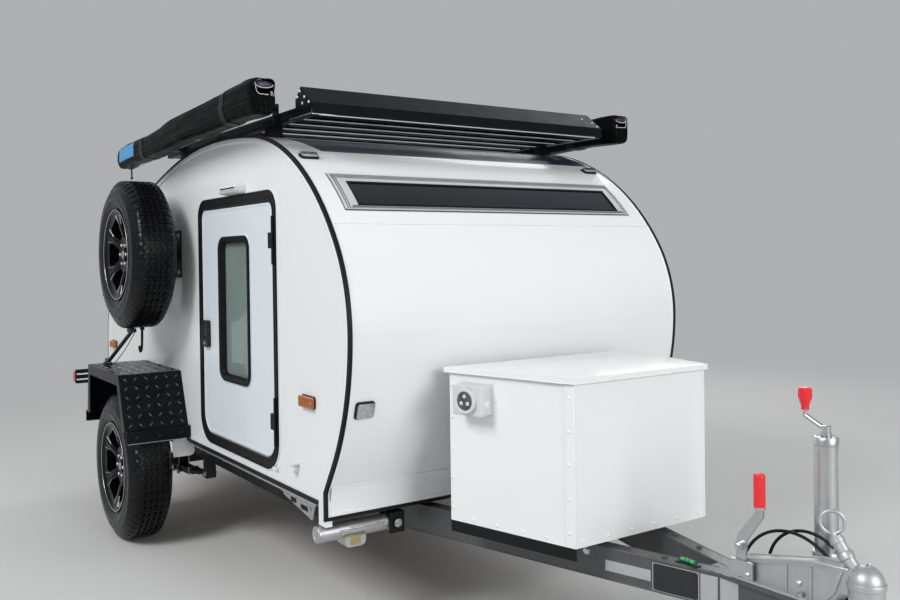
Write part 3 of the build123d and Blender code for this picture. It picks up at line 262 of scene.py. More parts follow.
inlet_shade = surface("inlet_shade", (0.20, 0.21, 0.21), 0.30, (0.1, 0.01))
bead_grey = surface("bead_grey", (0.075, 0.08, 0.085), 0.45, (0.1, 0.02))
label_blue = surface("label_blue", (0.05, 0.30, 0.62), 0.35, (0.08, 0.02))
label_silver = surface("label_silver", (0.50, 0.51, 0.52), 0.35, (0.06, 0.02), metallic=0.6)
label_black = surface("label_black", (0.012, 0.012, 0.014), 0.35, (0.1, 0.02))
# glass and lenses
pane_dark = surface("window_glass", (0.006, 0.012, 0.020), 0.04, (0.3, 0.25), rough_spread=0.01,
                    transmission=0.2, specular=0.4)
pane_grey = surface("door_glass", (0.46, 0.56, 0.53), 0.04, (0.05, 0.25), rough_spread=0.01,
                    transmission=0.65, specular=0.4)
amber_lens = surface("amber_lens", (0.58, 0.15, 0.010), 0.12, (0.1, 0.02), coat=0.6,
                     transmission=0.25)
red_lens = surface("red_lens", (0.55, 0.012, 0.012), 0.12, (0.1, 0.02), coat=0.6,
                   transmission=0.2)
clear_lens = surface("clear_lens", (0.55, 0.56, 0.58), 0.10, (0.25, 0.012), metallic=0.7, coat=0.7)
frosted_lens = surface("frosted_lens", (0.62, 0.64, 0.65), 0.30, (0.08, 0.01), coat=0.5,
                       transmission=0.3)
level_green = surface("level_green", (0.03, 0.55, 0.16), 0.10, (0.1, 0.01), coat=0.6,
                      transmission=0.3)
# cloth and wood
awning_vinyl = surface("awning_vinyl", (0.003, 0.004, 0.004), 0.36, (0.3, 0.08),
                       (0.00008, 0.0022), rough_spread=0.06, specular=0.03)
awning_cloth = surface("awning_cloth", (0.03, 0.034, 0.06), 0.42, (0.4, 0.02), (0.0003, 0.004))
piping_grey = surface("piping_grey", (0.55, 0.56, 0.57), 0.5, (0.1, 0.02))
# streaks stretched across the blind's colour paint the shade of its pleats
blind_grey = surface("blind_grey", (0.84, 0.88, 0.86), 0.6, (0.16, 0.30), (0.0001, 0.002),
                     stretch=(0.7, 1, 12))
mattress_cloth = surface("mattress_cloth", (0.34, 0.34, 0.33), 0.9, (0.12, 0.03),
                         (0.0004, 0.0015), sheen=0.3)
pillow_cloth = surface("pillow_cloth", (0.66, 0.66, 0.64), 0.92, (0.06, 0.04),
                       (0.0003, 0.0012), sheen=0.25)
birch = wood("birch_ply", (0.62, 0.46, 0.29), (0.50, 0.35, 0.20))
floor_ply = wood("floor_ply", (0.36, 0.25, 0.15), (0.26, 0.17, 0.10))

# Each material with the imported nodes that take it
node_materials = [
    (white, "side_wall_right side_wall_left roof_panel rear_panel hatch_leaf guard_gussets "
            "toolbox_body toolbox_lid"),
    (aluminium, "hatch_hinge"), (floor_ply, "floor_panel"), (birch, "bulkhead galley_unit"),
    (mattress_cloth, "mattress"), (window_silver, "window_frame"), (pane_dark, "window_pane"),
    (amber_lens, "marker_lamps"), (white_plastic, "side_fittings"), (red_lens, "tail_lamps"),
    (seal_black, "edge_trims door_rings door_fittings_right door_fittings_left brake_cables"),
    (door_white, "door_leaf_right door_leaf_left"), (pane_grey, "door_pane_right door_pane_left"),
    (plate_black, "mudguards"), (rim_black, "rim_right rim_left rim_spare"),
    (tyre_rubber, "tyre_right tyre_left tyre_spare"),
    (steel_dark, "axle leaf_springs spare_carrier spare_stay"),
    (frame_black, "lamp_bar chassis_frame"), (drawbar_grey, "drawbar"),
    (inlet_plastic, "power_inlet"), (cast_silver, "coupling"),
    (zinc, "handbrake_lever jockey_tube jockey_stem jockey_fork"),
    (wheel_rubber, "jockey_wheel"), (galvanised, "steady_right steady_left front_brackets"),
    (powder_black, "roof_rack rack_fairing"), (awning_vinyl, "awnings"),
    (slat_black, "rack_slats"), (clear_lens, "corner_lamps"), (grip_red, "hand_grips"),
]
for material, names in node_materials:
    for name in names.split():
        data = frame["nodes"][name].data
        data.materials.clear()
        data.materials.append(material)


# Building pieces
def turns(steps, start=0.0, end=360.0, closed=True):
    """Evenly spaced angles in radians."""
    parts = steps if closed else steps - 1
    return [math.radians(start + (end - start) * n / parts) for n in range(steps)]


def span(low, high, steps):
    """Evenly spaced values from low to high."""
    return [low + (high - low) * n / steps for n in range(steps + 1)]


def rise(height):
    """A step straight up."""
    return Vector((0, 0, height))


def polar(angle, radius, z=0.0, across=0.0):
    """A point at a distance from the Z axis, with a step across that direction."""
    return (radius * math.cos(angle) - across * math.sin(angle),
            radius * math.sin(angle) + across * math.cos(angle), z)


def spin(angle):
    """A turn about the Z axis."""
    return Matrix.Rotation(angle, 4, "Z")


def aim(place, along, across=(0, 0, 1)):
    """A frame at a place whose own Z runs along a direction, and its X near across."""
    z_axis = Vector(along).normalized()
    x_axis = Vector(across)
    if x_axis.normalized().cross(z_axis).length < 0.05:
        x_axis = z_axis.orthogonal()
    x_axis = (x_axis - z_axis * x_axis.dot(z_axis)).normalized()
    turned = Matrix((x_axis, z_axis.cross(x_axis), z_axis)).transposed().to_4x4()
    turned.translation = place
    return turned


class Shape:
    """A mesh built up from simple solids, then made into one piece."""

    def __init__(self, frame=Matrix()):
        self.mesh = bmesh.new()
        self.frame = frame
        self.slot = 0

    def vert(self, point):
        return self.mesh.verts.new(self.frame @ Vector(point))

    def face(self, corners):
        face = self.mesh.faces.new(corners)
        face.material_index = self.slot

    def span_rows(self, rows, closed=False):
        """Faces between rows of corners that are already made."""
        count = len(rows[0])
        for low, high in zip(rows, rows[1:]):
            for n in range(count if closed else count - 1):
                after = (n + 1) % count
                self.face((low[n], low[after], high[after], high[n]))

    def wrap_rows(self, rows, closed):
        """The same round an axis, where the last row meets the first."""
        count = len(rows[0])
        for n, row in enumerate(rows):
            after = rows[(n + 1) % len(rows)]
            for k in range(count if closed else count - 1):
                m = (k + 1) % count
                self.face((row[k], after[k], after[m], row[m]))

    def loft(self, rings, closed=True, caps=True):
        """A skin through rings of points, each with as many points as the others."""
        rows = [[self.vert(point) for point in ring] for ring in rings]
        self.span_rows(rows, closed)
        if caps:
            self.face(rows[0][::-1])
            self.face(rows[-1])
        return rows

    @contextmanager
    def moved(self, frame):
        """Adds what is made meanwhile in a frame of its own, inside the present one."""
        held = self.frame
        self.frame = held @ frame
        yield
        self.frame = held

    def plate(self, outline, z):
        """An outline of x and y points, between two heights."""
        self.loft([[(x, y, height) for x, y in outline] for height in z])

    def box(self, x, y, z):
        """A block between two places along each axis."""
        self.plate(((x[0], y[0]), (x[1], y[0]), (x[1], y[1]), (x[0], y[1])), z)

    def prism(self, outline, y):
        """An outline of x and z points, between two widths."""
        self.loft([[(x, across, z) for x, z in outline] for across in y])

    def ring(self, outer, inner, y):
        """The band between two loops of x and z points, between two widths."""
        loops = [[(x, across, z) for x, z in loop]
                 for loop, across in ((outer, y[0]), (outer, y[1]), (inner, y[1]), (inner, y[0]))]
        self.loop_loft(loops)

    def loop_loft(self, rings):
        """A skin through rings that returns to the first one."""
        self.loft(rings + rings[:1], caps=False)

    def tube(self, path, radius, sides=12):
        """A round bar along a path."""
        path = [Vector(point) for point in path]
        rings = []
        side = None
        for n, point in enumerate(path):
            ahead = (path[min(n + 1, len(path) - 1)] - path[max(n - 1, 0)]).normalized()
            side = side or ahead.orthogonal()
            side = (side - ahead * side.dot(ahead)).normalized()
            up = ahead.cross(side)
            rings.append([point + (side * math.cos(t) + up * math.sin(t)) * radius
                          for t in turns(sides)])
        self.loft(rings)

    def lathe(self, profile, steps=32, closed=False):
        """A profile of places along the frame's Z and radii, turned about it."""
        rows = [[self.vert(polar(t, radius, along)) for along, radius in profile]
                for t in turns(steps)]
        self.wrap_rows(rows, closed)
        for k in () if closed else (0, -1):
            if profile[k][1] > 0:
                self.face([row[k] for row in rows])

    def collar(self, low, high, inner, outer, steps):
        """A plain ring about the frame's Z."""
        self.lathe([(low, inner), (low, outer), (high, outer), (high, inner)], steps, closed=True)

    def hoop(self, middle, foot, top, inner, outer, steps):
        """A raised band with sloped sides about the frame's Z."""
        self.lathe([(middle - foot, inner), (middle - top, outer), (middle + top, outer),
                    (middle + foot, inner)], steps)

    def dome(self, place, along, radius, height, steps=10):
        """A rivet's or bolt's rounded head on a surface."""
        profile = [(-0.001, radius)]
        profile += [(height * math.sin(a), radius * math.cos(a)) for a in turns(4, 0, 90, False)[:-1]]
        with self.moved(aim(place, along)):
            self.lathe(profile + [(height, 0)], steps)

    def bolt(self, place, along, size, height):
        """A hexagon head on its washer."""
        shoulder = height - size * 0.12
        with self.moved(aim(place, along)):
            self.lathe([(-0.001, size * 1.35), (0.0015, size * 1.3), (0.0015, 0)], 16)
            self.lathe([(0.001, size), (shoulder, size), (height, size * 0.85), (height, 0)], 6)

    def piece(self, name, materials, slot, body="trailer", replaces=(), bevel=0.0, smooth=38,
              rounds=0):
        """Ends the mesh, and makes it an object that rides on a body."""
        bmesh.ops.remove_doubles(self.mesh, verts=self.mesh.verts, dist=0.000002)
        bmesh.ops.recalc_face_normals(self.mesh, faces=self.mesh.faces)
        data = bpy.data.meshes.new(name)
        self.mesh.to_mesh(data)
        self.mesh.free()
        for material in materials:
            data.materials.append(material)
        data.polygons.foreach_set("use_smooth", [True] * len(data.polygons))
        data.set_sharp_from_angle(angle=math.radians(smooth))
        made = bpy.data.objects.new(name, data)
        scene.collection.objects.link(made)
        if bevel:
            round_edges(made, bevel, 35)
        if rounds:
            made.modifiers.new("rounds", "SUBSURF").levels = rounds
            made.modifiers["rounds"].render_levels = rounds
        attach(made, body)
        if replaces:
            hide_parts(*replaces)
        return made


def round_edges(made, width, angle):
    """Rounds the edges that are sharper than an angle."""
    edge = made.modifiers.new("edge", "BEVEL")
    edge.width = width
    edge.segments = 2
    edge.angle_limit = math.radians(angle)


# The body's outline: radius, and the angle of the outward normal where each arc ends
chin_angle = 32
nose_arcs = [(3.25, 83), (0.93, 32), (0.55, 0), (0.855, -chin_angle)]
tail_arcs = [(2.8, 100), (4.5, 106), (1.54, 140), (0.5, 180)]
crown = (-0.918, 1.812)
apron_x, apron_low = 0.05, 0.433
floor_z = 0.48


def outline_arcs():
    """Centre, radius, start and end angle of each arc, in measured places."""
    arcs = []
    for table in (nose_arcs, tail_arcs):
        (x, z), start = crown, 90
        for radius, end in table:
            middle = (x - radius * math.cos(math.radians(start)),
                      z - radius * math.sin(math.radians(start)))
            arcs.append((middle, radius, start, end))
            x = middle[0] + radius * math.cos(math.radians(end))
            z = middle[1] + radius * math.sin(math.radians(end))
            start = end
    return arcs


skin_arcs = outline_arcs()


def skin(angle, proud=0.0):
    """The outline's point with this normal angle, as x in the model and z."""
    for (x, z), radius, start, end in skin_arcs:
        if min(start, end) <= angle <= max(start, end):
            reach = radius + proud
            return (front_x + x + reach * math.cos(math.radians(angle)),
                    z + reach * math.sin(math.radians(angle)))
    raise ValueError(angle)


def skin_normal(angle):
    """The outward direction at this normal angle."""
    return (math.cos(math.radians(angle)), 0, math.sin(math.radians(angle)))


def skin_line(y, angles, proud):
    """Points along the outline, at one width."""
    points = [skin(angle, proud) for angle in angles]
    return [(x, y, z) for x, z in points]


tail_x = skin(180)[0]


def apron(proud=0.0):
    """The upright plane at the nose's foot, and the height where it meets the nose."""
    x, z = skin(-chin_angle, proud)
    front = front_x + apron_x + proud
    return front, z - (x - front) / math.tan(math.radians(chin_angle))


def outline_path(proud, step=3.0):
    """The body's edge from the front corner over the roof to the rear, moved out by proud."""
    front, foot = apron(proud)
    path = [(front, apron_low), (front, foot)]
    count = round((180 + chin_angle) / step)
    path += [skin(angle, proud) for angle in span(-chin_angle, 180, count)]
    return path + [(tail_x - proud, floor_z)]


def rounded_loop(x, z, low, high, steps=8):
    """A rectangle's outline with its own radius at the lower and the upper corners."""
    corners = [(x[1] - low, z[0] + low, low, 270), (x[1] - high, z[1] - high, high, 0),
               (x[0] + high, z[1] - high, high, 90), (x[0] + low, z[0] + low, low, 180)]
    loop = []
    for middle_x, middle_z, radius, start in corners:
        for t in turns(steps, start, start + 90, False):
            loop.append((middle_x + radius * math.cos(t), middle_z + radius * math.sin(t)))
    return loop


def rounded_pad(x, z, half_wide, half_high, radius):
    """A rounded rectangle about a middle."""
    return rounded_loop(about(x, half_wide), about(z, half_high),
                        radius, radius, 5)


def make_mouldings():
    """White beading beside the black moulding on each wall, and the sill's bright strip."""
    # each point of a section: out from the outline, and out from the wall's face
    beading = [(-0.0075, -0.0004), (-0.0080, 0.0040), (-0.0100, 0.0046), (-0.0240, 0.0046),
               (-0.0262, 0.0038), (-0.0270, -0.0004)]
    bead = [(-0.0005, -0.0085), (0.0022, -0.0085), (0.003, -0.0105), (0.0022, -0.0125),
            (-0.0005, -0.0125)]
    for side, sign in sides:
        made = Shape()
        for section in (beading, bead):
            paths = [outline_path(out) for out, across in section]
            made.loft([[(x, sign * (half_width + across), z)
                        for (x, z), (out, across) in zip(points, section)]
                       for points in zip(*paths)])
        made.piece(f"edge_beading_{side}", [white], "body_white", smooth=50)
        made = Shape()
        made.box(measured(-2.68, -0.02), (sign * 0.7255, sign * (half_width + 0.002)),
                 (0.4625, 0.4705))
        made.piece(f"sill_strip_{side}", [galvanised], "zinc", bevel=0.001)


def make_nose_trim():
    """The riveted flashing at the nose's foot, the seam below the window, and a dark sheet painted as
    the rack's shadow.
    """
    made = Shape()
    half = 0.737
    front, foot = apron()
    sine, cosine = math.sin(math.radians(chin_angle)), math.cos(math.radians(chin_angle))
    fold = [(front + 0.0002, foot - 0.03), (front + 0.0045, foot - 0.029), (front + 0.0045, foot),
            (front + 0.0035 + 0.022 * sine, foot + 0.022 * cosine),
            (front + 0.022 * sine, foot + 0.0235 * cosine)]
    made.prism(fold, (-half, half))
    made.prism([(front, 0.4385), (front + 0.0022, 0.4395), (front + 0.0022, 0.452),
                (front, 0.454)], (-half, half))
    for y in span(-0.70, 0.70, 12):
        made.dome((front + 0.0044, y, foot - 0.014), (1, 0, 0), 0.0064, 0.0036)
    seam = 37.6
    made.prism([skin(seam - 0.55, 0.0002), skin(seam - 0.5, 0.0022), skin(seam + 0.5, 0.0022),
                skin(seam + 0.55, 0.0002)], (-half, half))
    x, z = skin(seam, 0.0021)
    for y in span(-0.67, 0.67, 12):
        made.dome((x, y, z), skin_normal(seam), 0.0042, 0.0024)
    made.piece("nose_flashing", [white], "body_white", bevel=0.0006)
    # a dark sheet across the nose between the corner lamps and the rack: painted shadow of the rack
    # and its fairing
    made = Shape()
    rows = 15
    sheets = []
    for proud in (0.0002, 0.0012):
        sheet = []
        for n, angle in enumerate(span(65.0, 79.0, rows)):
            x, z = skin(angle, proud)
            sheet.append([(x, y, z) for y in span(-0.60 - 0.06 * n / rows, 0.732, 24)])
        sheets.append(sheet)
        made.loft(sheet, closed=False, caps=False)
    for end in (0, -1):
        made.loft([sheet[end] for sheet in sheets], closed=False, caps=False)
        made.loft([[ring[end] for ring in sheet] for sheet in sheets], closed=False, caps=False)
    made.piece("nose_rack_shadow", [rack_shadow_paint], "trim_black")


def make_front_window():
    """A beaded border, a rubber seal round the glass, dark lines painted as the shade in the frame's
    grooves, the frame's joint, an inner pane.
    """
    made = Shape()
    half, glass_half = 0.670, 0.612
    low, high, glass_low, glass_high = 41.0, 52.8, 42.3, 49.6
    proud = 0.0062

    bead, bead_pitch = 0.0031, 0.0090
    edge = half - 0.010
    places = [(angle, y) for angle in (high - 0.55, high - 1.05, high - 1.55, low + 0.35)
              for y in span(-edge, edge, round(2 * edge / bead_pitch))]
    places += [(angle, y) for y in (-edge, edge, bead_pitch - edge, edge - bead_pitch)
               for angle in span(low + 0.35, high - 0.55, 20)[1:-1]]
    for angle, y in places:
        x, z = skin(angle, proud)
        made.dome((x, y, z), skin_normal(angle), bead, bead * 0.8, 6)
    made.piece("window_beads", [bead_grey], "window_frame")
    made = Shape()
    for y in (-glass_half, glass_half):
        made.tube(skin_line(y, span(glass_low, glass_high, 8), 0.0055), 0.0042, 8)
    for angle in (glass_low, glass_high):
        x, z = skin(angle, 0.0055)
        made.tube([(x, -glass_half - 0.004, z), (x, glass_half + 0.004, z)], 0.0042, 8)
    made.piece("window_seal", [seal_black], "trim_black")
    made = Shape()
    # two thin dark lines along the frame's lower part: painted shade standing in for its grooves
    for angle in (low + 0.95, low + 0.65):
        x, z = skin(angle, 0.0063)
        made.tube([(x, -half + 0.03, z), (x, half - 0.03, z)], 0.0012, 6)
    # the dark joint round the frame
    for y in (-half - 0.001, half + 0.001):
        made.tube(skin_line(y, span(low - 0.1, high + 0.1, 8), 0.0012), 0.0016, 6)
    for angle in (low - 0.1, high + 0.1):
        x, z = skin(angle, 0.0012)
        made.tube([(x, -half - 0.001, z), (x, half + 0.001, z)], 0.0016, 6)
    made.piece("window_joint_and_groove_shade", [label_black], "trim_black")
    made = Shape()
    # an inner pane behind the tinted one
    faces = [[skin(angle, -inset) for angle in span(glass_low + 0.4, glass_high - 0.4, 8)]
             for inset in (0.012, 0.015)]
    made.prism(faces[0] + faces[1][::-1], (-glass_half + 0.03, glass_half - 0.03))
    made.piece("window_inner", [pane_dark], "window_glass")


make_mouldings()
make_nose_trim()
make_front_window()


# Wheels: each is turned about its own axle, with depth counted in from the rim's outer plane
rim_face = 1.029
axle_x, axle_z = -1.608, 0.34
spare_x, spare_z = -1.494, 1.339
wheels = [("right", axle_x, axle_z, -1, "wheel_right"), ("left", axle_x, axle_z, 1, "wheel_left"),
          ("spare", spare_x, spare_z, -1, "trailer")]
spokes = 6
tread_pitches = 54
tread_radius, tyre_width = 0.3398, 0.190
groove_depths = (0.057, 0.0825, 0.1075, 0.133)
groove_drop = 0.007
zigzag = 0.0058


def wheel_frame(x, z, sign):
    """A wheel's frame: its own Z runs into the wheel from the rim's outer plane."""
    return aim(at(x, sign * rim_face, z), (0, -sign, 0), (1, 0, 0))


def tyre_columns():
    """The tyre's profile as depth, radius, whether it follows the zigzag, and its part."""
    columns = [(0.0108, 0.1935, 0, "side"), (0.0106, 0.206, 0, "side"), (0.006, 0.213, 0, "side"),
               (0.0015, 0.222, 0, "side"), (-0.0005, 0.2235, 0, "side"), (-0.0016, 0.228, 0, "side"),
               (-0.0046, 0.240, 0, "side"), (-0.0058, 0.248, 0, "side"), (-0.0068, 0.2495, 0, "side"),
               (-0.0068, 0.2525, 0, "side"), (-0.0062, 0.254, 0, "side"), (-0.0062, 0.272, 0, "side"),
               (-0.0046, 0.284, 0, "side"), (-0.0048, 0.2855, 0, "side"), (-0.0016, 0.293, 0, "side"),
               (0.0026, 0.3015, 0, "side"), (0.0060, 0.3075, 0, "side"), (0.0085, 0.312, 0, "lug"),
               (0.0130, 0.3205, 0, "lug"), (0.0190, 0.3300, 0, "lug"), (0.0260, 0.3370, 0, "lug"),
               (0.0340, tread_radius, 0, "lug"),
               (0.0440, tread_radius, 0, "rib")]
    for depth in groove_depths:
        columns += [(depth - 0.0048, tread_radius, 1, "rib"),
                    (depth - 0.0036, tread_radius - groove_drop, 1, "low"),
                    (depth + 0.0036, tread_radius - groove_drop, 1, "low"),
                    (depth + 0.0048, tread_radius, 1, "rib")]
        if depth < groove_depths[-1]:
            columns.append((depth + 0.0127, tread_radius, 0, "middle"))
    columns.append((0.146, tread_radius, 0, "rib"))
    for depth, radius, follows, part in columns[21::-1]:
        columns.append((tyre_width - depth, radius, follows, part))
    return columns


def make_tyre(name, x, z, sign, body):
    """A road tyre: zigzag grooves, sipes across the ribs, shoulder lugs and ringed walls."""
    made = Shape(wheel_frame(x, z, sign))
    columns = tyre_columns()
    shares = (0.0, 0.015, 0.055, 0.07, 0.30, 0.5, 0.515, 0.555, 0.57, 0.80)
    rows = []
    for pitch in range(tread_pitches):
        for number, share in enumerate(shares):
            angle = math.tau * (pitch + share) / tread_pitches
            swing = zigzag * (1 - 4 * abs(share - 0.5))
            cut = number in (1, 2, 6, 7)
            row = []
            for depth, radius, follows, part in columns:
                if part == "rib" and cut:
                    radius -= 0.0050
                if part == "middle" and cut and number < 5:
                    radius -= 0.0030
                if part == "lug" and 0.51 < share < 0.81:
                    radius -= 0.0045 * min(1, (radius - 0.309) / 0.01)
                depth += swing * follows
                row.append(made.vert(polar(angle, radius, depth)))
            rows.append(row)
    made.wrap_rows(rows, closed=True)
    # six small wear marks round the outer wall
    for angle in turns(6, 20, 380):
        with made.moved(spin(angle)):
            made.box((0.296, 0.301), (-0.004, 0.004), (-0.0016, 0.004))
    made.piece(f"road_tyre_{name}", [tyre_rubber], "tyre", body, [f"tyre_{name}"], smooth=32)


def web_depth(radius):
    """How deep the front of the rim's spokes lies at a radius."""
    return 0.046 - (radius - 0.074) * 0.032 / 0.104


def make_rim_trim(name, x, z, sign, body):
    """Machined lip and spoke ends, hub cap, wheel nuts and the valve, over the cast rim."""
    made = Shape(wheel_frame(x, z, sign))
    lip = [(-0.0006, 0.2035), (-0.0018, 0.2050), (-0.0018, 0.2068), (-0.0004, 0.2082),
           (0.0014, 0.2080), (0.0014, 0.2035)]
    made.lathe(lip, 96, closed=True)
    for spoke in range(spokes):
        middle = math.tau * (spoke + 0.5) / spokes
        for hand in (-1, 1):
            rings = []
            for radius, out, wide in ((0.140, 0.0175, 0.0016), (0.154, 0.0215, 0.0026),
                                      (0.170, 0.0275, 0.0036), (0.1805, 0.0325, 0.0042)):
                depth = web_depth(radius)
                ring = []
                for across, lift in ((-wide, -0.0008), (-wide * 0.4, 0.0026), (wide * 0.5, 0.0026),
                                     (wide, -0.0008)):
                    flat = hand * (out + across)
                    ring.append(polar(middle, radius, depth - lift, flat))
                rings.append(ring)
            made.loft(rings)
    made.piece(f"rim_bright_{name}", [rim_bright], "zinc", body, bevel=0.0005, smooth=30)
    made = Shape(wheel_frame(x, z, sign))
    for spoke in range(spokes):
        middle = math.tau * (spoke + 0.5) / spokes
        rings = []
        for radius, wide, crest in ((0.076, 0.0190, 0.0010), (0.092, 0.0135, 0.0075),
                                   (0.125, 0.0105, 0.0075), (0.155, 0.0125, 0.0030),
                                   (0.182, 0.0230, 0.0006)):
            depth = web_depth(radius)
            ring = []
            for across, lift in ((-wide, -0.001), (-wide * 0.7, crest), (wide * 0.7, crest),
                                 (wide, -0.001)):
                ring.append(polar(middle, radius, depth - lift, across))
            rings.append(ring)
        made.loft(rings)
    made.piece(f"rim_spokes_{name}", [rim_black], "rim_black", body, bevel=0.0015, smooth=50)
    made = Shape(wheel_frame(x, z, sign))
    for angle in turns(6):
        with made.moved(aim(polar(angle, 0.0485, 0.0495), (0, 0, -1), (1, 0, 0))):
            made.lathe([(-0.002, 0.0105), (0.003, 0.0098), (0.003, 0.0085)], 18)
            made.lathe([(0.002, 0.0086), (0.015, 0.0086), (0.018, 0.0066), (0.018, 0)], 6)
    made.slot = 1
    made.lathe([(0.0412, 0.0335), (0.0375, 0.0335), (0.0350, 0.0310), (0.0338, 0.0240),
                (0.0330, 0.0225), (0.0345, 0.0205), (0.0340, 0.0)], 40)
    made.slot = 2
    made.lathe([(0.0341, 0.0195), (0.0325, 0.0180), (0.0322, 0)], 32)
    made.piece(f"hub_{name}", [zinc, rim_black, rim_bright], "zinc", body, smooth=35)
    made = Shape(wheel_frame(x, z, sign) @ spin(math.radians(17)))
    made.tube([(0.1840, 0, 0.0150), (0.1800, 0, 0.0080), (0.1740, 0, 0.0010)], 0.0036, 10)
    made.piece(f"valve_{name}", [wheel_rubber], "tyre", body)


for wheel in wheels:
    make_tyre(*wheel)
    make_rim_trim(*wheel)


# Mudguards
guard_top = 0.791
guard_front, guard_rear = -1.300, -2.050
guard_top_front, guard_top_rear = -1.430, -1.985
guard_outer = 1.044


def make_guards():
    """Raised bars over the sheet, their highlights painted in as a lighter grey, the lips' bright
    edges, and bolts.
    """
    for side, sign in sides:
        # the bars are the same black plate as the guard; their lighter grey is painted highlight
        made = Shape()
        panels = [((guard_front - 0.0313, 0.5490), (guard_top_front + 0.0037, guard_top - 0.0025)),
                  ((guard_top_front, guard_top), (guard_top_rear, guard_top)),
                  ((guard_top_rear - 0.0040, guard_top - 0.0035), (guard_rear + 0.0310, 0.5475))]
        for low, high in panels:
            run = Vector((high[0] - low[0], 0, high[1] - low[1]))
            length = run.length
            along = run.normalized()
            normal = Vector((-along.z, 0, along.x)) * (-1 if along.x < 0 else 1)
            if normal.z < 0:
                normal = -normal
            rows = round(length / 0.046)
            for row in range(rows):
                for column in range(6):
                    hand = 1 if (row + column) % 2 else -1
                    offset = (row + 0.5) * length / rows
                    y = sign * (half_width + 0.026 + column * 0.047)
                    place = at(low[0], y, low[1]) + along * offset
                    direction = (along + Vector((0, hand * 0.9, 0))).normalized()
                    made.frame = aim(place, normal, direction)
                    ends = 0.0150
                    made.loft([[(-ends, 0, -0.0004), (0, -0.0040, -0.0004), (ends, 0, -0.0004),
                                (0, 0.0040, -0.0004)],
                               [(-ends * 0.72, 0, 0.0014), (0, -0.0020, 0.0022),
                                (ends * 0.72, 0, 0.0014), (0, 0.0020, 0.0022)]])
        made.piece(f"guard_tread_{side}", [bars_painted_highlight], "guard_black", smooth=20)
        made = Shape()
        for x in (guard_front, guard_rear):
            made.box(about(front_x + x, 0.002),
                     (sign * (half_width + 0.046), sign * (guard_outer - 0.004)), (0.4935, 0.4968))
        made.piece(f"guard_edge_{side}", [galvanised], "zinc", bevel=0.0006)
        made = Shape()
        for x, normal in ((guard_front + 0.004, 1), (guard_rear - 0.004, -1)):
            for y in (0.80, 0.90, 1.00):
                made.bolt(at(x, sign * y, 0.523), (normal, 0, 0), 0.006, 0.005)
        for x in (-1.50, -1.70, -1.90):
            made.bolt(at(x, sign * (half_width + 0.016), guard_top), (0, 0, 1), 0.0062, 0.005)
        made.piece(f"guard_bolts_{side}", [steel_dark], "guard_black", smooth=30)


make_guards()


# Awning bags: how far behind the corner they start and end, and where their middle runs
awning_back = (0.152, 1.898)
awning_y, awning_z = 0.862, 1.897
awning_slope = math.tan(math.radians(2.4))
awning_stations = 150


def awning_height(back):
    """The height of a bag's middle, which falls towards the rear."""
    return awning_z - (back - 0.15) * awning_slope


def awning_section(steps=36):
    """The bag's section, out from its middle: a square with well rounded corners."""
    section = []
    for t in turns(steps):
        across, up = math.cos(t), math.sin(t)
        power = 5.5
        reach = (abs(across) ** power + abs(up) ** power) ** (-1 / power)
        section.append((across * reach, up * reach))
    return section


def make_awning(side, sign):
    """An awning's creased vinyl bag with an open front. Returns its rings and the mouth's lip."""
    back_from, back_to = awning_back
    y_middle = sign * awning_y
    half_y, half_z = 0.0515, 0.0495
    section = awning_section()
    made = Shape()
    rings = []
    for n in range(awning_stations + 1):
        share = n / awning_stations
        back = back_from + (back_to - back_from) * share
        z_middle = awning_height(back)
        near_end = min(share, 1 - share) * (back_to - back_from)
        pinch = 1 - 0.16 * math.exp(-near_end / 0.010)
        sag = 0.003 * math.sin(share * math.pi * 5) - 0.001
        droop = 0.006 + 0.036 * math.exp(-share / 0.28)
        ring = []
        for across, up in section:
            crease = noise.noise(Vector((back * 7, across * 1.2 + sign * 9, up * 1.2))) * 0.0030
            long_fold = noise.noise(Vector((back * 2.2, across * 2 + 4 * sign, up * 2))) * 0.0050
            ripple = noise.noise(Vector((back * 22 + across * 9, across * 2, up * 2 + 3))) * 0.0022
            ripple *= 0.15 + 0.85 * math.exp(-near_end / 0.16)
            reach = pinch + (crease + long_fold + ripple) / half_y - 0.07
            low = max(0, -up) ** 2 * droop
            ring.append((front_x - back, y_middle + across * half_y * reach,
                         z_middle + up * half_z * reach + sag - low))
        rings.append(ring)
    made.loft(rings, caps=False)
    for at_end, step in ((0, 1), (-1, -1)):
        middle = Vector()
        for point in rings[at_end]:
            middle += Vector(point) / len(rings[at_end])
        # share of the width and of the height, lift of the ring's middle, and depth
        mouth = ((0.95, 0.95, 0.001, -0.002), (0.89, 0.80, 0.008, 0.000), (0.84, 0.60, 0.018, 0.003),
                 (0.79, 0.43, 0.027, 0.004), (0.75, 0.39, 0.028, 0.010), (0.74, 0.38, 0.028, 0.045),
                 (0.40, 0.20, 0.028, 0.050), (0.10, 0.05, 0.028, 0.050))
        tucked = ((0.86, 0.86, 0, 0.003), (0.62, 0.62, 0, 0.008), (0.34, 0.34, 0, 0.011),
                  (0.10, 0.10, 0, 0.012))
        inner = [rings[at_end]]
        for wide, tall, lift, depth in mouth if at_end == 0 else tucked:
            ring = []
            for k, point in enumerate(rings[at_end]):
                out = Vector(point) - middle
                wave = 1 + 0.06 * math.sin(k * 1.9 + 6 * wide) * (1 - wide)
                place = middle + Vector((0, out.y * wide * wave, out.z * tall * wave + lift))
                place.x -= step * (depth + 0.0020 * math.sin(k * 2.6))
                ring.append(tuple(place))
            inner.append(ring)
        made.face(made.loft(inner, caps=False)[-1])
        if at_end == 0:
            lip = inner[4]
    bag = made.piece(f"awning_bag_{side}", [awning_vinyl], "awning_black", smooth=60, rounds=1,
                     replaces=["awnings"])
    return rings, lip


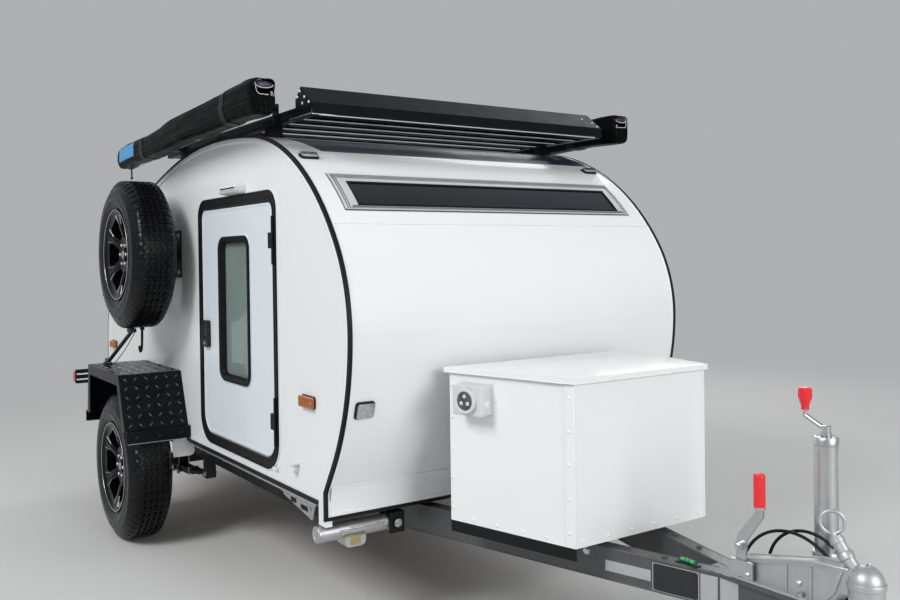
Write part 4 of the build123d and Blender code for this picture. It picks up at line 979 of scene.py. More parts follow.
def make_awning_trim(side, sign, rings, lip):
    """Piping round the mouth, the roll in it, seams, the rail below, straps and a blank label."""
    y_middle = sign * awning_y
    made = Shape()
    steps = range(11, 31) if sign < 0 else range(7, -13, -1)
    made.tube([Vector(lip[k % len(lip)]) + Vector((0.0014, 0, 0)) for k in steps], 0.0015, 8)
    middle = sum((Vector(point) for point in lip), Vector()) / len(lip)
    roll = [(middle.y + 0.034 * math.cos(t), middle.z + 0.007 + 0.0125 * math.sin(t))
            for t in turns(24)]
    made.tube([(middle.x + 0.0015, y, z - 0.001) for y, z in roll[12:] + roll[:1]], 0.0017, 8)
    for shift in (0.006, 0.013):
        made.tube([middle + Vector((0.002, -sign * (0.022 + shift * 0.5), -0.017)),
                   middle + Vector((0.004, -sign * (0.020 + shift), -0.033))], 0.0012, 6)
    made.piece(f"awning_piping_{side}", [piping_grey], "awning_black")
    made = Shape()
    made.loft([[(middle.x + x, middle.y + (y - middle.y) * grow, middle.z + (z - middle.z) * grow)
                for y, z in roll]
               for x, grow in ((0.003, 0.55), (0.001, 0.92), (-0.004, 1), (-0.040, 1))])
    made.piece(f"awning_roll_{side}", [awning_cloth], "awning_black", smooth=60)
    made = Shape()
    for row in (5, 33) if sign > 0 else (13, 21):
        path = [Vector(ring[row]) for ring in rings[2:-2:3]]
        made.tube(path, 0.0018, 6)
    made.piece(f"awning_seam_{side}", [seal_black], "awning_black")
    made = Shape()
    y = y_middle - sign * 0.020
    ends = [(front_x - back, awning_height(back) - 0.0475) for back in (0.20, 1.86)]
    made.loft([[(x, y + a, z + b) for a, b in ((-0.014, -0.0045), (0.014, -0.0045), (0.014, 0.003),
                                               (-0.014, 0.003))] for x, z in ends])
    made.piece(f"awning_rail_{side}", [aluminium], "awning_black", bevel=0.001)
    made = Shape()
    for back in (0.44, 1.48):
        share = (back - awning_back[0]) / (awning_back[1] - awning_back[0])
        index = round(share * awning_stations)
        loops = []
        for reach in (1.012, 1.030):
            for shift in (-2, 2):
                ring = rings[index + shift]
                centre = Vector((ring[0][0], y_middle, awning_height(back)))
                loops.append([tuple(centre + (Vector(p) - centre) * reach) for p in ring])
        made.loop_loft([loops[0], loops[1], loops[3], loops[2]])
    made.piece(f"awning_straps_{side}", [seal_black], "awning_black", smooth=60)
    if sign < 0:
        made = Shape()
        loops = []
        for ring in rings[124:146]:
            centre = Vector((ring[0][0], y_middle, sum(p[2] for p in ring) / len(ring)))
            low, high = ([centre + (Vector(p) - centre) * reach for p in ring[14:22]]
                         for reach in (1.0, 1.022))
            loops.append(low + high[::-1])
        made.loft(loops)
        made.piece("awning_label", [label_blue], "awning_black", smooth=60)
    made = Shape()
    ring = rings[-4]
    foot = min(ring, key=lambda p: p[2])
    made.box((foot[0] - 0.012, foot[0] + 0.004), (foot[1] - 0.002, foot[1] + 0.002),
             (foot[2] - 0.042, foot[2] + 0.006))
    made.box((foot[0] - 0.014, foot[0] + 0.006), (foot[1] - 0.004, foot[1] + 0.004),
             (foot[2] - 0.050, foot[2] - 0.040))
    made.piece(f"awning_tail_strap_{side}", [seal_black], "awning_black", bevel=0.0006)


for side, sign in sides:
    make_awning_trim(side, sign, *make_awning(side, sign))


# Roof rack and fairing
rack_z, rack_half = 1.820, 0.700
rack_front, rack_rear = -0.1223, -1.740
slat_width, slat_pitch = 0.058, 0.128
fairing_high, fairing_crease, fairing_low = (-0.208, 1.929), (-0.122, 1.861), (-0.114, 1.824)


def slat_places():
    """The slats' middles, from the front."""
    x = rack_front - slat_width / 2
    places = []
    while x > rack_rear + slat_width / 2:
        places.append(x)
        x -= slat_pitch
    return places


def make_rack():
    """Pale strips painted as the highlights on the slats' front edges, the slats' bolts and ribs, the
    rails' fittings, and the fairing's hem and bolts.
    """
    # pale strips on the black slats' front edges: painted highlights
    made = Shape()
    for x in slat_places():
        front = front_x + x + slat_width / 2
        made.box((front - 0.0030, front + 0.0014), (-0.668, 0.668), (rack_z - 0.0006, rack_z + 0.0034))
    made.piece("slat_edge_highlights", [slat_highlight_paint], "rack_black", bevel=0.0004)
    made = Shape()
    for x in slat_places():
        for edge in (-0.020, 0.020):
            for y in (-0.650, 0.650):
                made.bolt(at(x + edge, y, rack_z + 0.018), (0, 0, 1), 0.0048, 0.004)
        for low in (-0.012, 0.012):
            made.box(about(front_x + x + low, 0.0022), (-0.664, 0.664),
                     (rack_z + 0.0175, rack_z + 0.0196))
    made.piece("slat_ribs", [powder_black], "rack_black", bevel=0.0005)
    made = Shape()
    places = [(-0.2125, 1.9150), (-0.2325, 1.8960), (-0.1749, 1.8893), (-0.1921, 1.8690),
              (-0.1390, 1.8665)]
    for sign in (-1, 1):
        for x, z in places:
            made.dome(at(x, sign * rack_half, z), (0, sign, 0), 0.0060, 0.0042, 14)
    for y, z in ((0.640, 1.905), (0.676, 1.886), (0.684, 1.869)):
        x = -0.204 + (1.931 - z) * 86 / 68
        made.dome(at(x, y, z), (68, 0, 86), 0.0050, 0.0036, 14)
    made.piece("fairing_bolts", [stainless], "rack_black", smooth=30)
    made = Shape()
    # a small dress plate in the corner under the fairing, on the right rail
    made.prism([(front_x - 0.119, 1.8215), (front_x - 0.1190, 1.8585), (front_x - 0.1215, 1.8585),
                (front_x - 0.1215, 1.8215)], (-0.699, -0.600))
    made.box(measured(-0.30, -0.122), (-0.7035, -0.7005), (1.8225, 1.8255))
    made.piece("rack_corner_plate", [aluminium], "rack_black", bevel=0.0008)
    made = Shape()
    for sign in (-1, 1):
        low = at(fairing_crease[0], 0, fairing_crease[1])
        high = at(fairing_high[0], 0, fairing_high[1])
        path = [high + Vector((0.0, sign * 0.698, 0.0)), low + Vector((0.002, sign * 0.698, 0.0)),
                at(fairing_low[0] + 0.001, sign * 0.698, fairing_low[1])]
        made.tube(path, 0.0022, 8)
    path = [(front_x + fairing_high[0] + 0.001, -0.698, fairing_high[1] - 0.001),
            (front_x + fairing_high[0] + 0.001, 0.698, fairing_high[1] - 0.001)]
    made.tube(path, 0.0022, 8)
    made.piece("fairing_hem", [plate_black], "rack_black")
    made = Shape()
    for sign in (-1, 1):
        for x in (rack_front - 0.003, rack_rear):
            way = 1 if x > -1 else -1
            made.box(measured(x - 0.001, x + way * 0.0022),
                     (sign * 0.6715, sign * 0.6985), (rack_z + 0.0015, rack_z + 0.0385))
        for low in (0.010, 0.030):
            made.box(measured(rack_rear + 0.004, rack_front - 0.004),
                     (sign * 0.6995, sign * 0.7022), about(rack_z + low, 0.002))
        for angle in (82, 92, 101.5):
            x, z = skin(angle)
            for shift in (-0.018, 0.018):
                made.bolt((x + shift, sign * 0.705, rack_z + 0.020), (0, sign, 0), 0.0052, 0.0045)
            made.box(about(x, 0.045), (sign * 0.646, sign * 0.706), (z - 0.012, z + 0.004))
    for sign in (-1, 1):
        for back in (0.420, 1.500):
            for z in (rack_z + 0.014, rack_z + 0.030):
                made.bolt(at(-back, sign * 0.705, z), (0, sign, 0), 0.0052, 0.0045)
    made.piece("rack_fittings", [powder_black], "rack_black", bevel=0.0006, smooth=30)


make_rack()


# Doors
ring_x, ring_z = measured(-1.137, -0.309), (0.517, 1.570)
ring_proud = half_width + 0.006
pane_x, pane_z = measured(-0.898, -0.565), (0.806, 1.405)


def make_door(side, sign):
    """The ring's white lip and seals, the window's stepped frame, a blind, and the latch."""
    body = f"door_{side}"

    def loop(grow, x=ring_x, z=ring_z, low=0.120, high=0.075):
        return rounded_loop((x[0] - grow, x[1] + grow), (z[0] - grow, z[1] + grow),
                            low + grow, high + grow, 12)

    made = Shape()
    made.ring(loop(0.0065), loop(0.0), off_wall(sign, -0.001, 0.0036))
    made.piece(f"door_lip_{side}", [white], "body_white", bevel=0.0012)
    made = Shape()
    for outer, inner, top in ((-0.0020, -0.0070, 0.0022), (-0.0245, -0.0285, 0.0014)):
        made.ring(loop(outer), loop(inner), (sign * (ring_proud - 0.001), sign * (ring_proud + top)))
    made.piece(f"door_ring_beads_{side}", [seal_black], "trim_black", bevel=0.0006, smooth=50)

    made = Shape()
    leaf_x, leaf_z = (ring_x[0] + 0.037, ring_x[1] - 0.037), (ring_z[0] + 0.047, ring_z[1] - 0.047)
    edge = [loop(grow, leaf_x, leaf_z, 0.083, 0.038) for grow in (-0.0005, -0.0095)]
    made.ring(edge[0], edge[1], off_wall(sign, -0.0010, 0.0016))
    made.piece(f"door_hem_{side}", [door_white], "door_white", body, bevel=0.0008)

    # window: thin outer lip, black frame with a rounded shoulder, and the seal on the glass
    frame_face = half_width + 0.007
    made = Shape()
    corner = 0.055
    outer = [loop(grow, pane_x, pane_z, corner, corner) for grow in (0.0045, 0.0)]
    made.ring(outer[0], outer[1], off_wall(sign, -0.001, 0.0040))
    made.piece(f"pane_lip_{side}", [door_white], "door_white", body, bevel=0.001)
    made = Shape()
    rows = [(-0.0035, frame_face - 0.0005), (-0.0045, frame_face + 0.0030),
            (-0.0100, frame_face + 0.0042), (-0.0190, frame_face + 0.0020),
            (-0.0245, frame_face - 0.0040), (-0.0275, half_width - 0.0150),
            (-0.0235, half_width - 0.0158), (-0.0215, frame_face - 0.0040)]
    made.loop_loft([[(x, sign * y, z) for x, z in loop(grow, pane_x, pane_z, corner, corner)]
                    for grow, y in rows])
    made.piece(f"pane_frame_{side}", [seal_black], "trim_black", body, smooth=50)

    # a pleated blind, drawn behind the glass; the horizontal streaks in its colour are painted shade
    # of the pleats
    made = Shape()
    rows = 40
    low, high = pane_z[0] + 0.030, pane_z[1] - 0.030
    rings = []
    for depth in (0.0, 0.0008):
        rings.append([(z, half_width - 0.0265 - depth - (0.0022 if n % 2 else 0))
                      for n, z in enumerate(span(low, high, rows))])
    section = rings[0] + rings[1][::-1]
    made.loft([[(x, sign * y, z) for z, y in section]
               for x in (pane_x[0] + 0.028, pane_x[1] - 0.028)])
    made.piece(f"blind_{side}", [blind_grey], "window_glass", body, smooth=10)

    # latch: a moulded surround, a paddle in a recess and a key barrel
    made = Shape()
    handle_x, handle_z = measured(-1.073, -1.016), (0.933, 1.047)
    proud = half_width + 0.014
    outer = rounded_loop((handle_x[0] - 0.001, handle_x[1] + 0.001),
                         (handle_z[0] - 0.001, handle_z[1] + 0.001), 0.010, 0.010, 6)
    inner = rounded_loop((handle_x[0] + 0.008, handle_x[1] - 0.008),
                         (handle_z[0] + 0.034, handle_z[1] - 0.008), 0.006, 0.006, 6)
    made.ring(outer, inner, (sign * (proud - 0.012), sign * (proud + 0.0042)))
    middle_x = (handle_x[0] + handle_x[1]) / 2
    made.box((handle_x[0] + 0.011, handle_x[1] - 0.011),
             (sign * (proud - 0.001), sign * (proud + 0.0025)),
             (handle_z[0] + 0.045, handle_z[1] - 0.012))
    made.piece(f"latch_{side}", [grip_black], "trim_black", body, bevel=0.0014)
    made = Shape(aim((middle_x, sign * (proud + 0.003), handle_z[0] + 0.017), (0, sign, 0)))
    made.lathe([(-0.002, 0.0095), (0.0022, 0.0092), (0.0030, 0.0080), (0.0022, 0.0066),
                (0.0022, 0)], 24)
    made.box((-0.0045, 0.0045), (-0.0008, 0.0008), (0.0018, 0.0026))
    made.piece(f"latch_key_{side}", [zinc], "zinc", body, smooth=30)

    made = Shape()
    for z in (0.707, 1.380):
        for shift in (-0.02, 0.0, 0.02):
            made.dome((front_x - 0.309 - 0.016 - 0.031, sign * (half_width + 0.0135), z + shift),
                      (0, sign, 0), 0.0038, 0.0016)
    made.piece(f"hinge_screws_{side}", [steel_dark], "trim_black", body)
    made = Shape()
    made.box(measured(-0.36, -0.325), (sign * ring_proud, sign * (ring_proud + 0.004)),
             (0.5255, 0.5385))
    made.piece(f"door_drip_{side}", [white_plastic], "fitting_white", bevel=0.0015)


for side, sign in sides:
    make_door(side, sign)


# Lamps and wall fittings
marker_places = ((0.062, 0.817), (2.596, 0.829))
porch_x, porch_z = measured(-0.782, -0.598), (1.571, 1.613)


def make_lamps():
    """Ribbed amber lenses, clear corner lamps in black surrounds, porch lamps and screws."""
    for side, sign in sides:
        face = half_width
        made = Shape()
        for back, z in marker_places:
            x = front_x - back
            outer = rounded_pad(x, z, 0.0525, 0.0215, 0.010)
            inner = rounded_pad(x, z, 0.0495, 0.0185, 0.008)
            made.ring(outer, inner, off_wall(sign, -0.001, 0.0050))
        made.piece(f"marker_base_{side}", [seal_black], "trim_black", bevel=0.001)
        made = Shape()
        for back, z in marker_places:
            x = front_x - back
            for place in span(x - 0.040, x + 0.040, 10):
                made.box(about(place, 0.0026), off_wall(sign, 0.0175, 0.0198),
                         about(z, 0.0135))
        made.piece(f"marker_ribs_{side}", [amber_lens], "amber", bevel=0.0009)
        made = Shape()
        for back, z in marker_places:
            for shift in (-0.0445, 0.0445):
                made.dome(at(-back + shift, sign * (face + 0.0178), z), (0, sign, 0), 0.0034, 0.0016)
        made.piece(f"marker_screws_{side}", [zinc], "zinc")

        # porch lamp: a white case with a clear lens below its brow
        made = Shape()
        rows = [(0.0, 0.0, 0.0), (0.0, 0.010, 0.0), (0.002, 0.028, 0.0), (0.008, 0.040, 0.002),
                (0.016, 0.043, 0.006)]
        rings = []
        for inset, out, lift in rows:
            loop = rounded_loop((porch_x[0] + inset, porch_x[1] - inset),
                                (porch_z[0] + inset * 0.5 + lift, porch_z[1] - inset * 0.5),
                                0.012, 0.014, 6)
            rings.append([(x, sign * (face + out), z) for x, z in loop])
        made.loft(rings)
        made.piece(f"porch_case_{side}", [white_plastic], "fitting_white", smooth=45)
        made = Shape()
        loop = rounded_loop((porch_x[0] + 0.012, porch_x[1] - 0.012), (1.5745, 1.592), 0.007, 0.005, 6)
        made.prism(loop, off_wall(sign, 0.030, 0.0445))
        made.piece(f"porch_lens_{side}", [frosted_lens], "lamp_clear", bevel=0.002)

        # corner lamps: black surround, clear lens with a bright bezel
        dark, bright, lens = Shape(), Shape(), Shape()
        for angle, width, height, proud in ((60.7, 0.064, 0.027, 0.014), (-17, 0.062, 0.050, 0.012)):
            x, z = skin(angle)
            normal = skin_normal(angle)
            frame = aim((x, sign * 0.684, z), normal, (0, 1, 0))
            for made, grow, low, high, corner in ((dark, 0.0045, -0.002, proud * 0.55, 0.010),
                                                  (bright, 0.0008, 0.0, proud + 0.0006, 0.008)):
                made.frame = frame
                outer = rounded_pad(0, 0, width / 2 + grow, height / 2 + grow, corner)
                inner = rounded_pad(0, 0, width / 2 - 0.003, height / 2 - 0.003, 0.006)
                rows = [[(a, b, depth) for a, b in loop] for loop, depth in
                        ((outer, low), (outer, high), (inner, high), (inner, low))]
                made.loop_loft(rows)
            lens.frame = frame
            for n in range(5):
                b = height * (-0.30 + 0.15 * n)
                lens.box((-width / 2 + 0.006, width / 2 - 0.006), about(b, 0.0014),
                         (proud - 0.001, proud + 0.0011))
        dark.piece(f"corner_lamp_base_{side}", [seal_black], "trim_black", bevel=0.0008)
        bright.piece(f"corner_lamp_bezel_{side}", [rim_bright], "lamp_clear", bevel=0.0006)
        lens.piece(f"corner_lamp_ribs_{side}", [clear_lens], "lamp_clear", bevel=0.0004)

        # tail lamps: two pale bands over the red lens, in a black tray
        outer = sign * 0.940
        inner = outer - sign * 0.150
        rear = tail_x - 0.004 - 0.005 - 0.038
        made = Shape()
        for z in (0.6195, 0.6515):
            made.box((rear - 0.0015, rear + 0.037), (inner + sign * 0.004, outer + sign * 0.0012),
                     (z, z + 0.0075))
        made.piece(f"tail_lamp_bands_{side}", [white_plastic], "lamp_clear", bevel=0.0015)
        made = Shape()
        for n in range(12):
            y = inner + sign * (0.010 + 0.0118 * n)
            made.box((rear - 0.0012, rear + 0.002), about(y, 0.0030), (0.6095, 0.6705))
        made.piece(f"tail_lamp_ribs_{side}", [red_lens], "lamp_red", bevel=0.0008)
        made = Shape()
        for low, high in ((0.6025, 0.6050), (0.6750, 0.6775)):
            made.box((rear + 0.004, rear + 0.040), (inner - sign * 0.004, outer + sign * 0.0015),
                     (low, high))
        made.piece(f"tail_lamp_tray_{side}", [frame_black], "drawbar_grey", bevel=0.0006)

        # what shows of the lamp's case in front of the bar
        made = Shape()
        for z in (0.6190, 0.6500):
            made.box((tail_x - 0.0045, tail_x + 0.0010), (sign * 0.800, sign * 0.938), (z, z + 0.0085))
        made.piece(f"tail_lamp_strips_{side}", [white_plastic], "lamp_clear", bevel=0.0015)
        made = Shape()
        made.box((rear + 0.004, tail_x + 0.0015), (sign * 0.944, sign * 0.9500), (0.612, 0.668))
        made.piece(f"tail_lamp_end_{side}", [red_lens], "lamp_red", bevel=0.002)

        # the water inlet's round cap
        made = Shape(aim(at(-0.166, sign * (half_width + 0.018), 0.568), (0, sign, 0)))
        made.lathe([(-0.003, 0.0165), (0.0010, 0.0160), (0.0022, 0.0145), (0.0014, 0.0120),
                    (0.0008, 0.0060), (0.0020, 0.0050), (0.0022, 0)], 28)
        made.piece(f"inlet_cap_{side}", [white_plastic], "fitting_white", smooth=40)


make_lamps()


# Toolbox
box_front, box_rear, box_front_half, box_rear_half = 0.766, 0.295, 0.288, 0.410
taper = math.atan2(box_rear_half - box_front_half, box_front - box_rear)


def make_toolbox():
    """Riveted corner angles, flanges along the foot, and the lid's hem and front tabs."""
    rivet, rivet_high = 0.0060, 0.0036
    made = Shape()
    rivets = Shape()
    for sign in (-1, 1):
        corner = at(box_front, sign * box_front_half, 0)
        back = Vector((-math.cos(taper), sign * math.sin(taper), 0))
        out = Vector((math.sin(taper), sign * math.cos(taper), 0))
        low, high = 0.4355, 0.9245
        thick, wide = 0.0034, 0.031
        inward = Vector((0, -sign, 0))
        ahead = Vector((1, 0, 0))
        section = [corner + back * wide - out * 0.0006, corner + back * wide + out * thick,
                   corner + out * thick + ahead * 0.0016, corner + inward * 0.004 + ahead * 0.0016,
                   corner + inward * 0.004 - ahead * 0.0006, corner - (out + ahead) * 0.0006]
        made.loft([[tuple(p + rise(z)) for p in section] for z in (low, high)])
        for z in (0.885, 0.783, 0.684, 0.582, 0.479):
            rivets.dome(corner + back * 0.018 + out * thick + rise(z), out, rivet, rivet_high)
        for x in (0.666, 0.576, 0.480, 0.389):
            place = corner + back * ((box_front - x) / math.cos(taper))
            rivets.dome(place + out * 0.0002 + rise(0.450), out, rivet, rivet_high)
        for z in (0.477, 0.577, 0.678, 0.778, 0.885):
            place = corner + back * ((box_front - 0.305) / math.cos(taper))
            rivets.dome(place + out * 0.0002 + rise(z), out, rivet, rivet_high)
        # the turned-in flange along the foot
        length = (box_front - box_rear) / math.cos(taper) - 0.034
        foot = [corner + back * 0.032 + out * 0.0014, corner + back * length + out * 0.0014]
        made.loft([[tuple(p + rise(0.4355)), tuple(p + rise(0.4375)),
                    tuple(p - out * 0.003 + rise(0.4375)),
                    tuple(p - out * 0.003 + rise(0.4355))] for p in foot])
    for y in (-0.255, -0.151, -0.052, 0.047, 0.155, 0.257):
        rivets.dome(at(box_front + 0.0003, y, 0.453), (1, 0, 0), rivet, rivet_high)
    made.piece("toolbox_angles", [white], "body_white", bevel=0.0009)
    rivets.piece("toolbox_rivets", [white], "body_white")

    made = Shape()
    grow = 0.012

    def lid_ring(extra, z):
        front, rear = front_x + box_front + grow + extra, front_x + box_rear - grow - extra
        slope = math.tan(taper)
        front_half = box_front_half - grow * slope + grow / math.cos(taper) + extra
        rear_half = box_rear_half + grow * slope + grow / math.cos(taper) + extra
        return [(rear, -rear_half, z), (front, -front_half, z), (front, front_half, z),
                (rear, rear_half, z)]

    made.loop_loft([lid_ring(extra, z) for extra, z in
                    ((-0.0005, 0.9268), (0.0012, 0.9268), (0.0012, 0.9296), (-0.0005, 0.9296))])
    made.loft([lid_ring(-0.006, 0.9435), lid_ring(-0.0095, 0.9452)])
    made.piece("lid_hem", [white], "body_white", "lid", bevel=0.0012)
    made = Shape()
    for y in (-0.14, 0.14):
        front = front_x + box_front + grow
        made.box((front - 0.0005, front + 0.0035), about(y, 0.016), (0.9292, 0.9415))
        made.dome((front + 0.0035, y, 0.9353), (1, 0, 0), 0.0035, 0.0018)
    made.piece("lid_tabs", [white], "body_white", "lid", bevel=0.0008)


make_toolbox()


def make_inlet():
    """The power inlet's flange, its open socket with pins and screws, and its side button."""
    middle_y = -(box_rear_half - (0.412 - box_rear) * math.tan(taper))
    normal = Vector((math.sin(taper), -math.cos(taper), 0))
    along = Vector((math.cos(taper), math.sin(taper), 0))
    place = at(0.412, middle_y, 0.850)
    frame = aim(place, normal, along)
    up = -1 if frame.col[1].z < 0 else 1
    made = Shape(frame)
    made.box((-0.062, 0.062), (-0.0515, 0.0515), (-0.001, 0.006))
    made.piece("inlet_flange", [inlet_plastic], "inlet_grey", bevel=0.002)
    made = Shape(frame)
    made.lathe([(0.0685, 0.0408), (0.0716, 0.0405), (0.0726, 0.0385), (0.0716, 0.0322),
                (0.0706, 0.0312), (0.0700, 0.0300)], 56)
    for turn in turns(3, 90, 450):
        with made.moved(Matrix.Translation(polar(turn, 0.0150))):
            made.lathe([(0.0690, 0.0068), (0.0718, 0.0064), (0.0724, 0.0050), (0.0724, 0)], 16)
    made.slot = 1
    made.lathe([(0.0703, 0.0318), (0.0703, 0)], 56)
    made.slot = 0
    for a, b in ((-0.053, -0.043), (0.053, -0.043), (-0.053, 0.043), (0.053, 0.043)):
        with made.moved(Matrix.Translation((a, b, 0))):
            made.lathe([(0.0580, 0.0044), (0.0605, 0.0042), (0.0610, 0.0030), (0.0600, 0)], 14)
    made.box((-0.014, 0.014), (up * 0.037, up * 0.046), (0.0600, 0.0715))
    made.piece("inlet_flap", [inlet_plastic, inlet_shade], "inlet_grey", smooth=35)
    made = Shape(frame @ aim((0.0590, -up * 0.010, 0.030), (1, 0, 0), (0, 1, 0)))
    made.lathe([(-0.002, 0.0125), (0.0022, 0.0122), (0.0036, 0.0095), (0.0036, 0)], 24)
    made.piece("inlet_button", [white_plastic], "inlet_grey", smooth=35)


make_inlet()


# Drawbar, hitch and jack
arm_top = 0.410
arm_apex, arm_apex_half = 1.100, 0.054
head_x, head_z = 1.501, 0.490
arm_angle = math.radians(15)
arm_back = Vector((-math.cos(arm_angle), -math.sin(arm_angle), 0))
arm_out = Vector((math.sin(arm_angle), -math.cos(arm_angle), 0))
arm_start = at(arm_apex, -arm_apex_half, 0)


def arm_plate(name, near, far, low, high, materials, rim):
    """A thin riveted plate on the right arm's outer side, with a plain field inside its rim."""
    made = Shape()
    corners = [arm_start + arm_back * reach + rise(z)
               for reach, z in ((near, low), (near, high), (far, high), (far, low))]
    middle = sum(corners, Vector()) / 4
    made.loft([[tuple(p + arm_out * lift) for p in corners] for lift in (-0.0003, 0.0014)])
    if rim:
        made.slot = 1
        field = [middle + (p - middle) * rim for p in corners]
        made.loft([[tuple(p + arm_out * lift) for p in field] for lift in (0.0010, 0.0018)])
        made.slot = 0
    for p in corners:
        made.dome(middle + (p - middle) * 0.92 + arm_out * 0.0014, arm_out, 0.0018, 0.0010, 8)
    made.piece(name, materials, "drawbar_grey", bevel=0.0003)


def make_drawbar():
    """Rounded arm edges, weld beads, blank plates, and a bubble level on the arm."""
    made = Shape()
    for sign in (-1, 1):
        start = at(arm_apex, sign * arm_apex_half, 0)
        back = Vector((arm_back.x, -sign * arm_back.y, 0))
        out = Vector((arm_out.x, -sign * arm_out.y, 0))
        for height in (arm_top - 0.0022, arm_top - 0.0978):
            for inset in (0.0022, 0.0478):
                path = [start - out * inset + back * reach + rise(height)
                        for reach in (0.02, 1.9)]
                made.tube(path, 0.0034, 8)
        # weld beads where the arm meets the nose and the box's foot
        weld = [start + out * 0.001 + rise(arm_top - 0.004 - 0.0046 * n) for n in range(20)]
        for place in weld:
            made.dome(place + back * 0.001, out, 0.0042, 0.0024, 8)
    for x in (0.80, 0.92):
        for sign in (-1, 1):
            y = sign * (arm_apex_half + (arm_apex - x) * math.tan(arm_angle) - 0.026)
            made.bolt(at(x, y, arm_top), (0, 0, 1), 0.0075, 0.007)
    made.piece("arm_edges", [drawbar_grey], "drawbar_grey")
    made = Shape()
    for reach, z in ((0.432, 0.386), (0.905, 0.386)):
        made.bolt(arm_start + arm_back * reach + rise(z), arm_out, 0.0095, 0.009)
    made.piece("arm_bolts", [zinc], "zinc", smooth=30)
    arm_plate("plate_dark", 0.060, 0.206, 0.316, 0.398, [label_silver, label_black], 0.965)
    arm_plate("plate_pale", -0.055, 0.056, 0.316, 0.398, [label_silver], 0)
    arm_plate("plate_long", 0.212, 0.365, 0.339, 0.372, [label_silver], 0)
    made = Shape()
    level_y = -0.0655
    made.box(measured(0.962, 1.036), about(level_y, 0.0135), (arm_top, arm_top + 0.0045))
    made.piece("level_base", [label_black], "drawbar_grey", bevel=0.0012)
    made = Shape()
    made.tube([at(x, level_y, arm_top + lift)
               for x, lift in ((0.972, 0.0095), (0.985, 0.0105), (0.999, 0.0110), (1.013, 0.0105),
                               (1.026, 0.0095))], 0.0062, 14)
    made.piece("level_vial", [level_green], "drawbar_grey")
    made = Shape()
    for x in (0.9715, 0.993, 1.005, 1.0265):
        made.frame = aim(at(x, level_y, arm_top + 0.0102), (1, 0, 0))
        made.collar(-0.0012, 0.0012, 0.0062, 0.0069, 16)
    made.piece("level_rings", [label_black], "drawbar_grey")


make_drawbar()


def make_coupling():
    """Casting ribs and pads on the neck, its bolts, the head's collar and its grease nipple."""
    made = Shape()
    neck_back, top_x = 1.135, 1.376
    for sign in (-1, 1):
        y = sign * 0.0318
        rim = [(neck_back + 0.004, 0.414), (neck_back + 0.004, 0.4545), (top_x - 0.002, 0.5075),
               (head_x - 0.040, 0.5150), (head_x - 0.062, 0.452), (1.405, 0.4145)]
        middle = Vector((1.29, 0, 0.4480))
        outer = [(front_x + x, z) for x, z in rim]
        inner = []
        for x, z in outer:
            way = Vector((x - front_x, 0, z)) - middle
            pull = 0.0085 / way.length
            inner.append((x - way.x * pull * 1.6, z - way.z * pull))
        made.ring(outer, inner, (y - sign * 0.001, y + sign * 0.0050))
        for x, low, high in ((1.300, 0.4150, 0.4880), (1.372, 0.4150, 0.5030)):
            made.box(about(front_x + x, 0.0028),
                     (y - sign * 0.001, y + sign * 0.0042), (low, high))
        # foot flange with two bolts
        made.box(measured(neck_back + 0.006, 1.395), (y - sign * 0.001, y + sign * 0.020),
                 (arm_top + 0.0002, arm_top + 0.0075))
    # ribs along the neck's top
    for y in (-0.0270, 0.0270):
        path = [(front_x + neck_back + 0.006, y, 0.4590), (front_x + top_x - 0.004, y, 0.5125),
                (front_x + head_x - 0.030, y, 0.5190)]
        made.tube(path, 0.0040, 8)
    made.frame = aim(at(head_x, 0, head_z), (0, 0, 1))
    made.lathe([(-0.0115, 0.0435), (-0.0115, 0.0470), (0.0, 0.0478), (0.0045, 0.0462),
                (0.0045, 0.0430)], 48, closed=True)
    # collar and pin of the release arm
    low, high = at(head_x - 0.020, 0, head_z + 0.010), at(head_x - 0.082, 0, 0.583)
    along = (high - low).normalized()
    made.frame = aim(low + along * 0.055, along)
    made.lathe([(-0.010, 0.0168), (-0.010, 0.0205), (0.006, 0.0205), (0.009, 0.0185), (0.009, 0.0168)],
               32, closed=True)
    made.frame = aim(high - along * 0.004, along)
    made.collar(-0.012, 0.0, 0.0168, 0.0195, 32)
    made.piece("coupling_ribs", [cast_silver], "coupling_silver", bevel=0.0012, smooth=50)
    made = Shape()
    for sign in (-1, 1):
        for x in (1.170, 1.345):
            made.bolt(at(x, sign * 0.0425, arm_top + 0.0075), (0, 0, 1), 0.0082, 0.009)
        made.bolt(at(1.335, sign * 0.0318, 0.4460), (0, sign, 0), 0.0075, 0.007)
    made.frame = aim(at(head_x + 0.008, 0, head_z + 0.0425), (0.18, 0, 1))
    made.lathe([(-0.003, 0.0075), (0.0035, 0.0075), (0.0035, 0.0045), (0.0080, 0.0040),
                (0.0100, 0.0026), (0.0112, 0)], 12)
    made.frame = aim(at(head_x - 0.075, -0.024, 0.5525), (0, 1, 0))
    made.lathe([(0.0, 0.0062), (0.048, 0.0062), (0.048, 0)], 16)
    made.piece("coupling_bolts", [zinc], "zinc", smooth=30)


